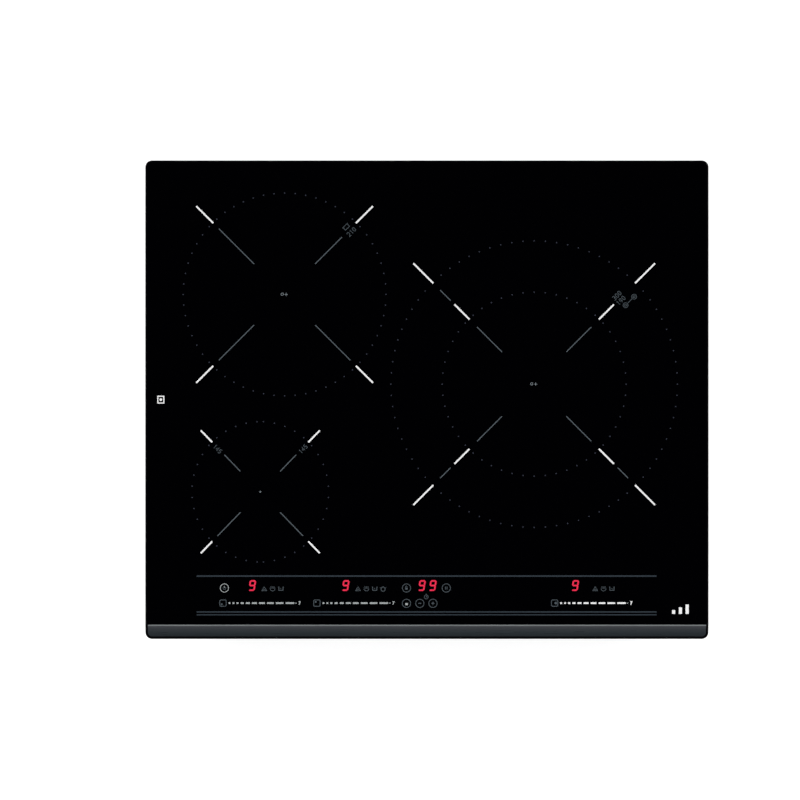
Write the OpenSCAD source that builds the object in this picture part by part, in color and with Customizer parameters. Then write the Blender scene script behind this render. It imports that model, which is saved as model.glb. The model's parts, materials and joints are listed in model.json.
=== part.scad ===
// Built-in induction hob: a glass plate over a folded steel casing that holds three sprung induction
// coils, two power boards with their fans and heat sinks, a touch control unit and a mains terminal box.
// Millimetres. Z = 0 is the worktop surface that the seal rests on, X runs to the right, the front
// edge is at -Y, and the origin is the middle of the worktop cut-out.

/* [Glass] */
// Width of the glass
glass_w = 600; // [592:1:620]
// Depth of the glass, front to back
glass_d = 510; // [506:1:530]
// Thickness of the glass
glass_t = 4; // [4:0.5:6]
// Radius of the glass corners
glass_corner = 7; // [5:1:12]
// Width of the ground facet along the front edge
facet_w = 15; // [8:1:18]
// How far the facet drops below the top face
facet_drop = 2.2; // [1:0.1:2.8]
// Thickness of the foam seal between glass and worktop
seal_t = 1.5; // [1:0.25:2]

/* [Casing] */
// Width of the worktop cut-out
cutout_w = 560; // [556:1:564]
// Depth of the worktop cut-out
cutout_d = 490; // [486:1:494]
// Depth of the casing below the worktop surface
casing_depth = 52; // [52:1:58]
// Thickness of the casing's sheet steel
sheet = 0.8; // [0.6:0.1:1]
// How far the fixing clamps reach from their screws
clamp_reach = 38; // [34:1:40]

/* [Coils] */
// Outer radius of the winding under the rear left zone
rear_left_r = 98; // [90:1:100]
// Outer radius of the winding under the front left zone
front_left_r = 67; // [62:1:70]
// Outer radius of the outer winding under the right zone
right_r = 139; // [130:1:141]
// Diameter of the winding wire
wire_d = 3.5; // [3:0.1:3.6]

/* [Fans] */
// Radius of the blower wheels
wheel_r = 36; // [30:1:38]
// Number of blades on a blower wheel
blades = 30; // [18:1:36]

/* [Hidden] */
$fn = 48;

// Play between parts that slide or nearly touch, and the overlap that makes cuts clean
gap = 0.1;
over = 1;

// Levels, from the glass down
glass_under = seal_t;
glass_over = seal_t + glass_t;
flange_top = -0.5;
rim_top = -2;
ledge_z = -19;
ledge_top = ledge_z + sheet;
floor_z = -casing_depth;
floor_top = floor_z + sheet;
deck_t = 1.5;
deck_top = ledge_top + deck_t;

// Seal, adhesive and support frame
seal_w = 6;
seal_inset = 3;
frame_gap = 2;
frame_t = 1.2;
frame_leg = 14;
flange_w = 13;
frame_w = cutout_w - 2 * frame_gap;
frame_d = cutout_d - 2 * frame_gap;
adhesive_w = 8;
adhesive_inset = 1.5;

// How far a cut reaches through a wall or a sheet
cut = 10;

// Casing: a wide rim with a narrower bay under it
rim_gap = 0.8;
rim_w = frame_w - 2 * (frame_t + rim_gap);
rim_d = frame_d - 2 * (frame_t + rim_gap);
rim_corner = 11;
bay_inset = 16;
bay_w = rim_w - 2 * bay_inset;
bay_d = rim_d - 2 * bay_inset;
bay_corner = 12;
side_screw_z = -7;
side_screw_r = 2;
side_screw_l = 6;
side_screw_head = [3.8, 1.2];
side_screw_y = [-180, -60, 60, 180];
end_screw_x = [-200, 0, 200];

// Notch in the bay for the terminal box, at the rear left
notch_x = -180;
notch_w = 110;
notch_d = 60;
notch_y = bay_d / 2 - notch_d;
notch_margin = 20;

// Floor of the pan: stiffening beads, and the slots over and under which air moves
bead_w = 8;
bead_rise = 0.7;
side_bead = [235, 30, 250];
middle_bead = [36, 40, 230];
front_bead = [0, -200, 300];
slot_w = 5;
slot_h = 20;
slot_pitch = 12;
slot_z = (floor_z + ledge_z) / 2 - 1;
front_slots = [-240, 240];
rear_slots = [-96, 240];
side_slots = [-96, 96];
vent_rings = [12 : 6 : 30];
vent_slot = 3.6;
vent_spoke = 3.4;
vent_middle_r = 4;

// Cooking zones: the middle of each, and what their coils share
hole_r = 12;
stem_r = 6;
plate_rim = 3;
rear_left_at = [-151.3, 112];
front_left_at = [-177.2, -98.8];
right_at = [114.4, 16.5];
right_inner_r = 90;
right_gap_r = 99;
rear_left_eye = 26;
front_left_eye = 20;
right_eye = 26;
springs_per_coil = 3;
spring_inset = 14;
coil_travel = 3;
deck_slot_at = 0.55;
deck_slot_l = 0.7;
deck_slot_w = 16;
deck_hole_play = 4;

// Coil stack levels
mica_t = 0.5;
mica_z = glass_under - gap - mica_t;
wire_z = mica_z - gap - wire_d / 2;
wire_pitch = wire_d - 0.1;
former_t = 1.6;
former_z = wire_z - wire_d / 2 - gap - former_t;
ferrite_t = 4.8;
ferrite_w = 14;
ferrite_z = former_z - ferrite_t;
cradle_wall = 1.2;
plate_t = 1.2;
plate_z = ferrite_z - 0.3 - plate_t;
plate_slots = 6;
plate_slot_at = 0.55;
plate_slot_l = 0.5;
plate_slot_w = 5;
spring_h = plate_z - deck_top;
spring_r = 6;
spring_wire = 0.9;
spring_turns = 2.5;
probe_r = 4;
collar_r = stem_r + 3;
collar_h = 2;

// Control unit along the front
control_w = 496;
control_d = 52;
control_y = -202;
control_wall = 1.6;
control_corner = 4;
control_top = glass_under - gap;
control_floor = deck_top + gap;
board_t = 1.6;
control_board_z = control_top - 4.5;
control_post_r = 3;
control_post_inset = 7;
control_posts = [-0.45 : 0.3 : 0.45];
ribbon_slot = 36;
ribbon_slot_d = 8;
digit_x = [-185.5, -86, -4.8, 6.8, 158.5];
digit_y = -197.5;
display_w = 10;
display_d = 15;
slider_x = [[-207, -132], [-107, -33], [145, 220]];
slider_y = -216.7;
slider_pads = 7;
slider_pad_r = 4;
key_at = [[-216, -200.7], [-22, -200.7], [21, -200.7], [-22, -217], [-7, -217], [7, -217]];
key_r = 4.5;

// Flat cable from the control board to the filter board
ribbon_y = control_y + control_d / 2 + 9;
ribbon_w = 28;
ribbon_t = 1;
ribbon_reach = 16;
plug_size = [32, 12, 8];
plug_at = -82;

// Power boards, heat sinks and blowers; the right side mirrors the left
side_x = 145;
board_w = 208;
board_d = 206;
board_corner = 3;
board_y = 44;
standoff_h = 5;
board_z = floor_top + standoff_h;
board_top = board_z + board_t;
sink_w = 60;
sink_d = 190;
sink_y = 24;
sink_h = 23;
sink_base = 4;
fin_t = 1.5;
fins = 9;
foot_r = 3;
foot_inset = 6;

// What stands on a power board: its size, its column from the board's middle, and its places along it
film_cap = [30, 20, 20];
film_cap_x = -78;
film_cap_y = [-60 : 32 : 40];
choke_ring = [0.35, 0.95];
choke_r = 17;
choke_h = 14;
choke_x = 66;
choke_y = [-70 : 45 : 20];
can_r = 10;
can_h = 22;
can_x = 62;
can_y = [60, 84];
relay = [16, 26, 16];
relay_x = 92;
relay_y = [52, 82];
transistor = [6, 16, 20];
transistor_x = -36;
transistor_y = [-70 : 40 : 50];
terminal = [34, 14, 12];
terminal_x = -78;
terminal_y = [-90, 88];
side_plug = [10, 20, 12];
side_plug_x = 94;
side_plug_y = [-84, -48];

// Blowers
blower_y = -135;
blower_r = 46;
blower_wall = 1.5;
blower_h = 27;
duct_y = sink_y - sink_d / 2 - 1;
mouth_y = 30;
inlet_r = 31;
vent_r = 6;
hub_r = 14;
hub_h = 14;
hub_wall = 2;
rim_ring = 1.5;
web_t = 1.2;
shaft_r = 1.5;
shaft_l = 11;
blade_outer = 11;
blade_inner = 10;
blade_offset = 7.5;
wheel_top = floor_top + blower_h - 3.4;
wheel_foot = floor_top + 4;
motor_r = 10;
motor_h = 10.5;
motor_flange = 6;
motor_flange_t = 1;

// Filter board between the power boards
filter_w = 62;
filter_d = 200;
filter_y = 60;
ring_choke = [22, 16];
ring_choke_y = 10;
box_cap = [40, 18, 20];
box_cap_y = [-40, 52];
disc_r = 7;
disc_h = 6;
disc_at = [12, -66];
mains_plug = [44, 12, 14];
mains_plug_y = 82;

// Terminal box in the notch
box_w = notch_w - 4;
box_d = notch_d - 2;
box_y = notch_y + 1;
box_z = floor_z + 2;
box_top = ledge_z;
box_wall = 2;
box_rear = box_y + box_d;
flap_x = -167;
flap_w = 74;
flap_t = 2;
knuckle_r = 1.5;
pin_r = 0.8;
pin_play = 0.05;
flap_y = box_rear + knuckle_r + 0.3;
flap_z = box_z + 2;
flap_top = box_top - 3;
ear_t = 2.5;
ear_h = 4;
flap_lap = 4;
grip = [20, 1, 3];
ear_x = flap_w / 2 + 0.3;
entry_x = -219;
entry_z = -35;
entry_r = 8;
entry_collar = 4;
entry_wall = 2.5;
poles = 5;
pole_pitch = 12;
pole_x = flap_x;
pole_y = box_y + 22;
block_d = 16;
block_h = 14;
ridge_h = 18;
screw_well_r = 3;
screw_well_z = 4;
wire_way_r = 2;
wire_way_z = 7;
pole_screw_z = 11;
pole_screw_r = 1.4;
pole_screw_l = 6.8;
pole_screw_head = [2.8, 2];

// Wire holes between the terminal box and the bay
wire_hole_x = notch_x + 10;
wire_hole_w = 30;
wire_hole_h = 10;
wire_hole_z = ledge_z - 20;
wire_r = 1.3;
wire_gap = 8;

// Mains wires: out of the block, along one lane each, then over the boards to the filter's connector
wire_start_z = box_z + 10;
lane_y = notch_y - 10;
lane_z = wire_hole_z + wire_hole_h / 2;
lane_gap = 4;
lane_bend_x = [18, -60, -18];
lane_high_z = -24;
wire_end_gap = 12;

// Coil leads: where each pair leaves its board's terminal, passes over it and comes up through the deck
lead_x = side_x + terminal_x;
lead_rear = board_y + terminal_y[1];
lead_front = board_y + terminal_y[0];
lead_paths = [
    [[-lead_x, lead_rear], [-88, 136], [-104, 139]],
    [[-lead_x, lead_front], [-105, -84], [-145, -81]],
    [[lead_x, lead_rear], [66, 108], [63, 81]],
    [[lead_x, lead_front], [75, -54], [86, -60]]
];
lead_r = 1.6;
lead_split = 2.4;
lead_rise = 5;
lead_z = -21.6;
lead_end = deck_top + 1.2;

// Fixing clamps
clamp_x = rim_w / 2 - bay_inset / 2;
clamp_y = 150;
clamp_w = 14;
clamp_t = 2;
clamp_z = -36;
clamp_lip = 5;
clamp_toe = 5;
clamp_boss_r = 5;
clamp_screw_r = 2.5;
clamp_head = [5, 3];

// Pillars that carry the deck, clear of the control unit, the blowers and the boards
pillar_at = [[-235, -168], [235, -168], [-35, -160], [35, -160], [-105, 195], [235, 195], [60, 195]];
pillar_r = 5;
pillar_bore = [1.7, 12];
deck_screw_r = 1.6;
deck_screw_l = 9;
deck_screw_head = [3.8, 2.2];

// ---------- Shapes that repeat ----------

// A rectangle with round corners, centred on the origin
module rounded(w, d, r) {
    square([w - 2 * r, d], center = true);
    square([w, d - 2 * r], center = true);
    for (x = [-1, 1], y = [-1, 1])
        translate([x * (w / 2 - r), y * (d / 2 - r)]) circle(r);
}

// A round-cornered slab from one level up
module slab(w, d, r, z, h) {
    translate([0, 0, z]) linear_extrude(h) rounded(w, d, r);
}

// A round-cornered ring of a given width, whose outside is w by d
module frame_ring(w, d, r, width, z, h) {
    translate([0, 0, z]) linear_extrude(h) difference() {
        rounded(w, d, r);
        rounded(w - 2 * width, d - 2 * width, max(r - width, 1));
    }
}

// A flat ring between two radii
module disc_ring(outer, inner, z, h) {
    translate([0, 0, z]) linear_extrude(h) difference() {
        circle(outer);
        circle(inner);
    }
}

module block(size, at) {
    translate([at.x - size.x / 2, at.y - size.y / 2, at.z]) cube(size);
}

// A slot with round ends, length l along X
module slot2d(l, w) {
    square([l - w, w], center = true);
    for (x = [-1, 1]) translate([x * (l - w) / 2, 0]) circle(w / 2);
}

// A screw whose head, [radius, height], stands on the origin and whose shank runs down -Z
module screw(shank_r, shank_l, head) {
    cross_l = head[0] * 1.2;
    cross_w = head[0] * 0.24;
    cross_z = head[1] * 0.45;
    difference() {
        union() {
            cylinder(r = head[0], h = head[1]);
            translate([0, 0, -shank_l]) cylinder(r = shank_r, h = shank_l);
        }
        for (a = [0, 90]) rotate(a)
            translate([-cross_l / 2, -cross_w / 2, cross_z]) cube([cross_l, cross_w, head[1]]);
    }
}

// Points on a smooth curve through the given ones (Catmull-Rom)
function curve_point(a, b, c, d, t) =
    let (slope = c - a, bend = 2 * a - 5 * b + 4 * c - d, twist = 3 * b - a - 3 * c + d)
        b + (slope * t + bend * pow(t, 2) + twist * pow(t, 3)) / 2;
function curve(p, steps) = let (n = len(p)) concat(
    [for (i = [0 : n - 2], s = [0 : steps - 1])
        curve_point(p[max(i - 1, 0)], p[i], p[i + 1], p[min(i + 2, n - 1)], s / steps)],
    [p[n - 1]]);

function unit(v) = v / norm(v);
function tangent(p, i) = unit(p[min(i + 1, len(p) - 1)] - p[max(i - 1, 0)]);
// A vector square to each tangent in turn, carried along the route so that the tube doesn't twist
function carried(p, i = 0, last = [0.11, 0.23, 0.97]) = i == len(p) ? [] :
    let (t = tangent(p, i), v = unit(last - (last * t) * t)) concat([v], carried(p, i + 1, v));

// A tube of a given radius swept along a route
module tube(route, r, sides = 8) {
    n = len(route);
    square_to = carried(route);
    points = [for (i = [0 : n - 1], k = [0 : sides - 1])
        let (t = tangent(route, i), u = square_to[i], v = cross(t, u), a = 360 * k / sides)
            route[i] + r * (cos(a) * u + sin(a) * v)];
    first_cap = [for (k = [0 : sides - 1]) k];
    last_cap = [for (k = [sides - 1 : -1 : 0]) (n - 1) * sides + k];
    wall = [for (i = [0 : n - 2], k = [0 : sides - 1])
        let (q = (k + 1) % sides, here = i * sides, there = here + sides)
            each [[there + q, here + q, here + k], [there + k, there + q, here + k]]];
    polyhedron(points, concat([first_cap], wall, [last_cap]));
}

// A conical compression spring standing on the origin
module spring(r, h, wire, turns, per_turn = 14) {
    steps = floor(turns * per_turn);
    draw_in = wire * 1.6;
    tube([for (i = [0 : steps]) let (a = 360 * i / per_turn, s = i / steps, here = r - draw_in * s)
        [here * cos(a), here * sin(a), wire / 2 + (h - wire) * s]],
        wire / 2, 6);
}

// ---------- Glass and frame ----------

module glass_top() {
    color("black") difference() {
        slab(glass_w, glass_d, glass_corner, glass_under, glass_t);
        translate([0, facet_w - glass_d / 2, glass_over])
            rotate([atan(facet_drop / facet_w), 0, 0])
                translate([-glass_w / 2 - over, -2 * facet_w, 0])
                    cube([glass_w + 2 * over, 2 * facet_w, glass_t]);
    }
}

module glass_adhesive() {
    color("dimgray")
        frame_ring(frame_w - 2 * adhesive_inset, frame_d - 2 * adhesive_inset, rim_corner, adhesive_w,
            flange_top, glass_under - flange_top);
}

module perimeter_seal() {
    color("darkslategray")
        frame_ring(glass_w - 2 * seal_inset, glass_d - 2 * seal_inset, glass_corner - 1, seal_w,
            0, seal_t);
}

// Puts a child, drawn along -Z with its head up, at every side screw, facing out
module at_side_screws() {
    for (side = [-1, 1], y = side_screw_y)
        translate([side * frame_w / 2, y, side_screw_z]) rotate([0, side * 90, 0]) children();
    for (side = [-1, 1], x = end_screw_x)
        translate([x, side * frame_d / 2, side_screw_z]) rotate([-side * 90, 0, 0]) children();
}

module support_frame() {
    color("silver") difference() {
        union() {
            frame_ring(frame_w, frame_d, rim_corner + 1, flange_w, flange_top - frame_t, frame_t);
            frame_ring(frame_w, frame_d, rim_corner + 1, frame_t, -frame_leg, frame_leg + flange_top);
        }
        at_side_screws() cylinder(r = side_screw_r + 2 * gap, h = cut, center = true);
    }
}

// The screws that hold the rim in the frame, and those that hold the deck on its pillars
module casing_screws() {
    color("lightgray") {
        at_side_screws() screw(side_screw_r, side_screw_l, side_screw_head);
        for (p = pillar_at)
            translate([p.x, p.y, deck_top]) screw(deck_screw_r, deck_screw_l, deck_screw_head);
    }
}

// ---------- Casing ----------

// The bay's outline, taken in by a given amount
module bay_outline(in) {
    difference() {
        rounded(bay_w - 2 * in, bay_d - 2 * in, bay_corner - in);
        translate([notch_x - notch_w / 2 - in, notch_y - in])
            square([notch_w + 2 * in, notch_d + notch_margin]);
    }
}

// The pressed stiffening beads of the floor
module beads2d() {
    for (x = [-1, 1]) {
        translate([x * side_bead[0], side_bead[1]]) rotate(90) slot2d(side_bead[2], bead_w);
        translate([x * middle_bead[0], middle_bead[1]]) rotate(90) slot2d(middle_bead[2], bead_w);
    }
    translate([front_bead[0], front_bead[1]]) slot2d(front_bead[2], bead_w);
}

// The rings of slots that a blower draws air through
module inlet2d() {
    difference() {
        for (r = vent_rings) difference() {
            circle(r + vent_slot / 2);
            circle(r - vent_slot / 2);
        }
        for (a = [0 : 45 : 135]) rotate(a) square([2 * blower_r, vent_spoke], center = true);
    }
    circle(vent_middle_r);
}

// A row of upright slots, from one place to another, through a wall that faces Y
module wall_slots(row, y) {
    for (x = [row[0] : slot_pitch : row[1]])
        translate([x, y, slot_z]) rotate([90, 0, 0])
            linear_extrude(cut, center = true) rotate(90) slot2d(slot_h, slot_w);
}

// The upper part of the casing: a wall that hugs the cut-out, and a ledge in to the pan's edge
module casing_rim() {
    color("lightgray") difference() {
        slab(rim_w, rim_d, rim_corner, ledge_z, rim_top - ledge_z);
        slab(rim_w - 2 * sheet, rim_d - 2 * sheet, rim_corner - sheet, ledge_top, over - ledge_top);
        translate([0, 0, ledge_z - over]) linear_extrude(sheet + 2 * over) bay_outline(sheet);
        at_side_screws() cylinder(r = side_screw_r + gap, h = 2 * cut, center = true);
        for (x = [-1, 1], y = [-1, 1])
            translate([x * clamp_x, y * clamp_y, ledge_z - over])
                cylinder(r = clamp_screw_r + gap, h = sheet + 2 * over);
    }
}

// The lower part of the casing: a pan welded under the ledge, with vents and a notch at the rear left
module casing_pan() {
    color("lightgray") difference() {
        translate([0, 0, floor_z]) linear_extrude(ledge_z - floor_z) bay_outline(0);
        difference() {
            translate([0, 0, floor_top]) linear_extrude(ledge_z - floor_top + over) bay_outline(sheet);
            translate([0, 0, floor_z]) linear_extrude(sheet + bead_rise) beads2d();
        }
        translate([0, 0, floor_z - over]) linear_extrude(over + bead_rise) beads2d();
        for (x = [-1, 1]) translate([x * side_x, blower_y, floor_z - over])
            linear_extrude(sheet + 2 * over) inlet2d();
        wall_slots(rear_slots, bay_d / 2);
        wall_slots(front_slots, -bay_d / 2);
        for (x = [-1, 1]) rotate(90) wall_slots(side_slots, x * bay_w / 2);
        block([wire_hole_w, cut, wire_hole_h], [wire_hole_x, notch_y, wire_hole_z]);
    }
}

module deck_pillars() {
    pillar_h = ledge_top - floor_top;
    color("gray") for (p = pillar_at) translate([p.x, p.y, floor_top]) difference() {
        cylinder(r = pillar_r, h = pillar_h);
        translate([0, 0, pillar_h - pillar_bore[1]])
            cylinder(r = pillar_bore[0], h = pillar_bore[1] + over);
    }
}

// ---------- Coils ----------

// Places of the springs under a coil of a given radius
function spring_spots(r) =
    [for (k = [0 : springs_per_coil - 1]) let (a = 90 + 360 * k / springs_per_coil)
        (r - spring_inset) * [cos(a), sin(a)]];

zones = [
    [rear_left_at, rear_left_r],
    [front_left_at, front_left_r],
    [right_at, right_r]
];

module coil_deck() {
    color("silver") difference() {
        slab(rim_w - 2 * sheet - 1, rim_d - 2 * sheet - 1, rim_corner - 1, ledge_top, deck_t);
        for (z = zones) translate([z[0].x, z[0].y, ledge_top - over]) linear_extrude(deck_t + 2 * over) {
            circle(hole_r + deck_hole_play);
            for (a = [30 : 120 : 270]) rotate(a)
                translate([z[1] * deck_slot_at, 0]) rotate(90) slot2d(z[1] * deck_slot_l, deck_slot_w);
        }
        for (x = [-1, 1], y = [-1, 1])
            translate([x * clamp_x, y * clamp_y, ledge_top - over])
                cylinder(r = clamp_screw_r + over, h = deck_t + 2 * over);
        for (p = pillar_at)
            translate([p.x, p.y, ledge_top - over])
                cylinder(r = deck_screw_r + 6 * gap, h = deck_t + 2 * over);
        block([ribbon_slot + 4, ribbon_slot_d - 1, cut], [0, ribbon_y, ledge_top - cut / 2]);
    }
}

module mica(outer) {
    disc_ring(outer + 1, hole_r - 2, mica_z, mica_t);
}

// One winding: turns of wire side by side, each pressed a little into the next
module winding(outer, inner) {
    turns = floor((outer - inner) / wire_pitch);
    rotate_extrude() for (k = [0 : turns - 1])
        translate([outer - wire_d / 2 - k * wire_pitch, wire_z]) circle(wire_d / 2, $fn = 8);
}

// The ferrite bars of one ring, a row of [count, first radius, last radius], grown by a given amount
module ferrite_bars(row, grow, z, h) {
    bar = [row[2] - row[1] + 2 * grow, ferrite_w + 2 * grow, h];
    for (k = [0 : row[0] - 1]) rotate(360 * (k + 0.5) / row[0])
        translate([row[1] - grow, -bar.y / 2, z]) cube(bar);
}

module former(outer, rows) {
    cradle_z = plate_z + plate_t;
    difference() {
        union() {
            disc_ring(outer, hole_r, former_z, former_t);
            for (row = rows)
                ferrite_bars(row, cradle_wall, cradle_z, former_z - cradle_z + former_t / 2);
        }
        for (row = rows) ferrite_bars(row, gap, ferrite_z - over, former_z - ferrite_z + over);
    }
}

module ferrites(rows) {
    for (row = rows) ferrite_bars(row, 0, ferrite_z, ferrite_t);
}

module coil_plate(outer) {
    difference() {
        disc_ring(outer + plate_rim, stem_r + gap, plate_z, plate_t);
        for (k = [0 : plate_slots - 1]) rotate(360 * k / plate_slots)
            translate([outer * plate_slot_at, 0, plate_z - over])
                linear_extrude(plate_t + 2 * over) slot2d(outer * plate_slot_l, plate_slot_w);
    }
}

module coil_springs(outer) {
    for (p = spring_spots(outer)) translate([p.x, p.y, deck_top + gap])
        spring(spring_r, spring_h - 2 * gap, spring_wire, spring_turns);
}

// The temperature probe in the middle of a coil: a sleeve held in the plate with a cap against the glass
module sensor() {
    foot = plate_z - coil_travel;
    translate([0, 0, foot]) cylinder(r = stem_r, h = wire_z - foot);
    translate([0, 0, plate_z + plate_t]) cylinder(r = collar_r, h = collar_h);
    translate([0, 0, wire_z - over]) cylinder(r = probe_r, h = glass_under - gap - wire_z + over);
}

rear_left_rows = [[8, 34, rear_left_r - 6]];
front_left_rows = [[6, 24, front_left_r - 5]];
right_rows = [[8, 34, right_inner_r - 6], [16, right_gap_r + 2, right_r - 3]];

// Puts a child at the middle of each zone, in its colour
module rear_left(shade) { color(shade) translate(rear_left_at) children(); }
module front_left(shade) { color(shade) translate(front_left_at) children(); }
module right(shade) { color(shade) translate(right_at) children(); }

module mica_rear_left() { rear_left("wheat") mica(rear_left_r); }
module winding_rear_left() { rear_left("peru") winding(rear_left_r, rear_left_eye); }
module former_rear_left() { rear_left("dimgray") former(rear_left_r, rear_left_rows); }
module ferrites_rear_left() { rear_left("darkslategray") ferrites(rear_left_rows); }
module coil_plate_rear_left() { rear_left("silver") coil_plate(rear_left_r); }
module coil_springs_rear_left() { rear_left("lightgray") coil_springs(rear_left_r); }
module sensor_rear_left() { rear_left("white") sensor(); }

module mica_front_left() { front_left("wheat") mica(front_left_r); }
module winding_front_left() { front_left("peru") winding(front_left_r, front_left_eye); }
module former_front_left() { front_left("dimgray") former(front_left_r, front_left_rows); }
module ferrites_front_left() { front_left("darkslategray") ferrites(front_left_rows); }
module coil_plate_front_left() { front_left("silver") coil_plate(front_left_r); }
module coil_springs_front_left() { front_left("lightgray") coil_springs(front_left_r); }
module sensor_front_left() { front_left("white") sensor(); }

module mica_right() { right("wheat") mica(right_r); }
module winding_right_inner() { right("peru") winding(right_inner_r, right_eye); }
module winding_right_outer() { right("peru") winding(right_r, right_gap_r); }
module former_right() { right("dimgray") former(right_r, right_rows); }
module ferrites_right() { right("darkslategray") ferrites(right_rows); }
module coil_plate_right() { right("silver") coil_plate(right_r); }
module coil_springs_right() { right("lightgray") coil_springs(right_r); }
module sensor_right() { right("white") sensor(); }

// ---------- Control unit ----------

module control_housing() {
    color("dimgray") translate([0, control_y, 0]) difference() {
        union() {
            difference() {
                slab(control_w, control_d, control_corner, control_floor, control_top - control_floor);
                slab(control_w - 2 * control_wall, control_d - 2 * control_wall, control_corner - 1,
                    control_floor + control_wall, control_top - control_floor);
            }
            for (x = control_posts, y = [-1, 1])
                translate([x * control_w, y * (control_d / 2 - control_post_inset), control_floor])
                    cylinder(r = control_post_r, h = control_board_z - control_floor);
        }
        block([ribbon_slot, ribbon_slot_d, control_top - control_floor + 2 * over],
            [0, control_d / 2, control_floor - over]);
    }
}

module control_board() {
    color("darkgreen") translate([0, control_y, 0])
        slab(control_w - 2 * control_wall - 1, control_d - 2 * control_wall - 1, control_corner / 2,
            control_board_z, board_t);
}

module display_modules() {
    z = control_board_z + board_t;
    color("black") for (x = digit_x)
        block([display_w, display_d, control_top - 2 * gap - z], [x, digit_y, z]);
}

module touch_pads() {
    z = control_board_z + board_t;
    color("gray") {
        for (k = key_at) translate([k.x, k.y, z]) cylinder(r = key_r, h = control_top - z);
        for (s = slider_x, k = [0 : slider_pads - 1])
            translate([s[0] + (s[1] - s[0]) * (k + 0.5) / slider_pads, slider_y, z])
                cylinder(r = slider_pad_r, h = control_top - z);
    }
}

// The flat cable from the control board down through the deck to the filter board
module control_ribbon() {
    plug_y = filter_y + plug_at + plug_size.y / 3;
    plug_z = board_top + plug_size.z;
    start_y = ribbon_y - ribbon_reach;
    color("lightgray") translate([-ribbon_w / 2, 0, 0]) rotate([90, 0, 90])
        linear_extrude(ribbon_w) polygon([
        [start_y, control_board_z - ribbon_t], [start_y, control_board_z],
        [ribbon_y + ribbon_t, control_board_z], [ribbon_y + ribbon_t, plug_z + ribbon_t],
        [plug_y, plug_z + ribbon_t], [plug_y, plug_z],
        [ribbon_y, plug_z], [ribbon_y, control_board_z - ribbon_t]
    ]);
}

// ---------- Power electronics ----------

// A board with round corners, on four feet
module board(w, d) {
    slab(w, d, board_corner, board_z, board_t);
    for (x = [-1, 1], y = [-1, 1])
        translate([x * (w / 2 - foot_inset), y * (d / 2 - foot_inset), floor_top])
            cylinder(r = foot_r, h = standoff_h);
}

module power_board() {
    color("darkgreen") translate([side_x, board_y, 0]) board(board_w, board_d);
}

module heat_sink() {
    pitch = (sink_w - fin_t) / (fins - 1);
    color("silver") translate([side_x, sink_y, board_top + gap]) {
        block([sink_w, sink_d, sink_base], [0, 0, 0]);
        for (k = [0 : fins - 1])
            block([fin_t, sink_d, sink_h], [k * pitch - (sink_w - fin_t) / 2, 0, 0]);
    }
}

// A toroid choke lying on the board
module choke(r, h) {
    rotate_extrude() translate([r * choke_ring[0], 0]) square([r * (choke_ring[1] - choke_ring[0]), h]);
}

// Blocks of one size in a column
module column(size, x, places) {
    for (y = places) block(size, [x, y, 0]);
}

// Capacitors, relays, chokes, transistors and connectors on either side of the heat sink
module power_parts() {
    color("navajowhite") translate([side_x, board_y, board_top]) {
        column(film_cap, film_cap_x, film_cap_y);
        column(relay, relay_x, relay_y);
        column(transistor, transistor_x, transistor_y);
        column(terminal, terminal_x, terminal_y);
        column(side_plug, side_plug_x, side_plug_y);
        for (y = choke_y) translate([choke_x, y, 0]) choke(choke_r, choke_h);
        for (y = can_y) translate([can_x, y, 0]) cylinder(r = can_r, h = can_h);
    }
}

module power_board_right() { power_board(); }
module power_parts_right() { power_parts(); }
module heat_sink_right() { heat_sink(); }
module power_board_left() { mirror([1, 0, 0]) power_board(); }
module power_parts_left() { mirror([1, 0, 0]) power_parts(); }
module heat_sink_left() { mirror([1, 0, 0]) heat_sink(); }

module filter_board() {
    color("darkgreen") translate([0, filter_y, 0]) board(filter_w, filter_d);
}

module filter_parts() {
    color("gold") translate([0, filter_y, board_top]) {
        translate([0, ring_choke_y, 0]) choke(ring_choke[0], ring_choke[1]);
        column(box_cap, 0, box_cap_y);
        column(plug_size, 0, [plug_at]);
        column(mains_plug, 0, [mains_plug_y]);
        for (x = [-1, 1]) translate([x * disc_at.x, disc_at.y, 0]) cylinder(r = disc_r, h = disc_h);
    }
}

// A wire that leaves one face squarely, follows a curve and meets another face squarely
module wire(start, through, end, steps, r) {
    tube(concat([start], curve(through, steps), [end]), r);
}

// Pairs of litz leads from the boards' terminals up through the deck, to just under the coils
module coil_leads() {
    terminal_top = board_top + terminal.z;
    color("peru") for (p = lead_paths, k = [-1, 1]) {
        along = unit(p[2] - p[0]);
        side = k * lead_split * [-along.y, along.x];
        places = [for (q = p) q + side];
        wire([places[0].x, places[0].y, terminal_top], [
            [places[0].x, places[0].y, terminal_top + lead_rise],
            [places[1].x, places[1].y, lead_z],
            [places[2].x, places[2].y, lead_z + 2]
        ], [places[2].x, places[2].y, lead_end], 3, lead_r);
    }
}

// The three wires from the terminal block through the wire holes to the filter board's connector
module mains_wires() {
    start_y = pole_y - block_d / 2;
    end_y = filter_y + mains_plug_y;
    end_z = board_top + mains_plug.z;
    color("saddlebrown") for (k = [-1 : 1]) {
        x = wire_hole_x + wire_gap * k;
        lane = lane_y + lane_gap * k;
        end_x = wire_end_gap * k;
        wire([x, start_y, wire_start_z], [
            [x, start_y - 3, wire_start_z],
            [x, notch_y - 1, lane_z],
            [x + lane_bend_x[0] - 2 * k, lane, lane_z],
            [lane_bend_x[1], lane, lane_z],
            [lane_bend_x[2] + wire_gap * k, lane, lane_high_z],
            [end_x, end_y, lane_high_z - 2]
        ], [end_x, end_y, end_z], 3, wire_r);
    }
}

// ---------- Blowers ----------

module blower_outline(r, half) {
    circle(r);
    translate([-half, 0]) square([2 * half, duct_y - blower_y]);
}

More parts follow.
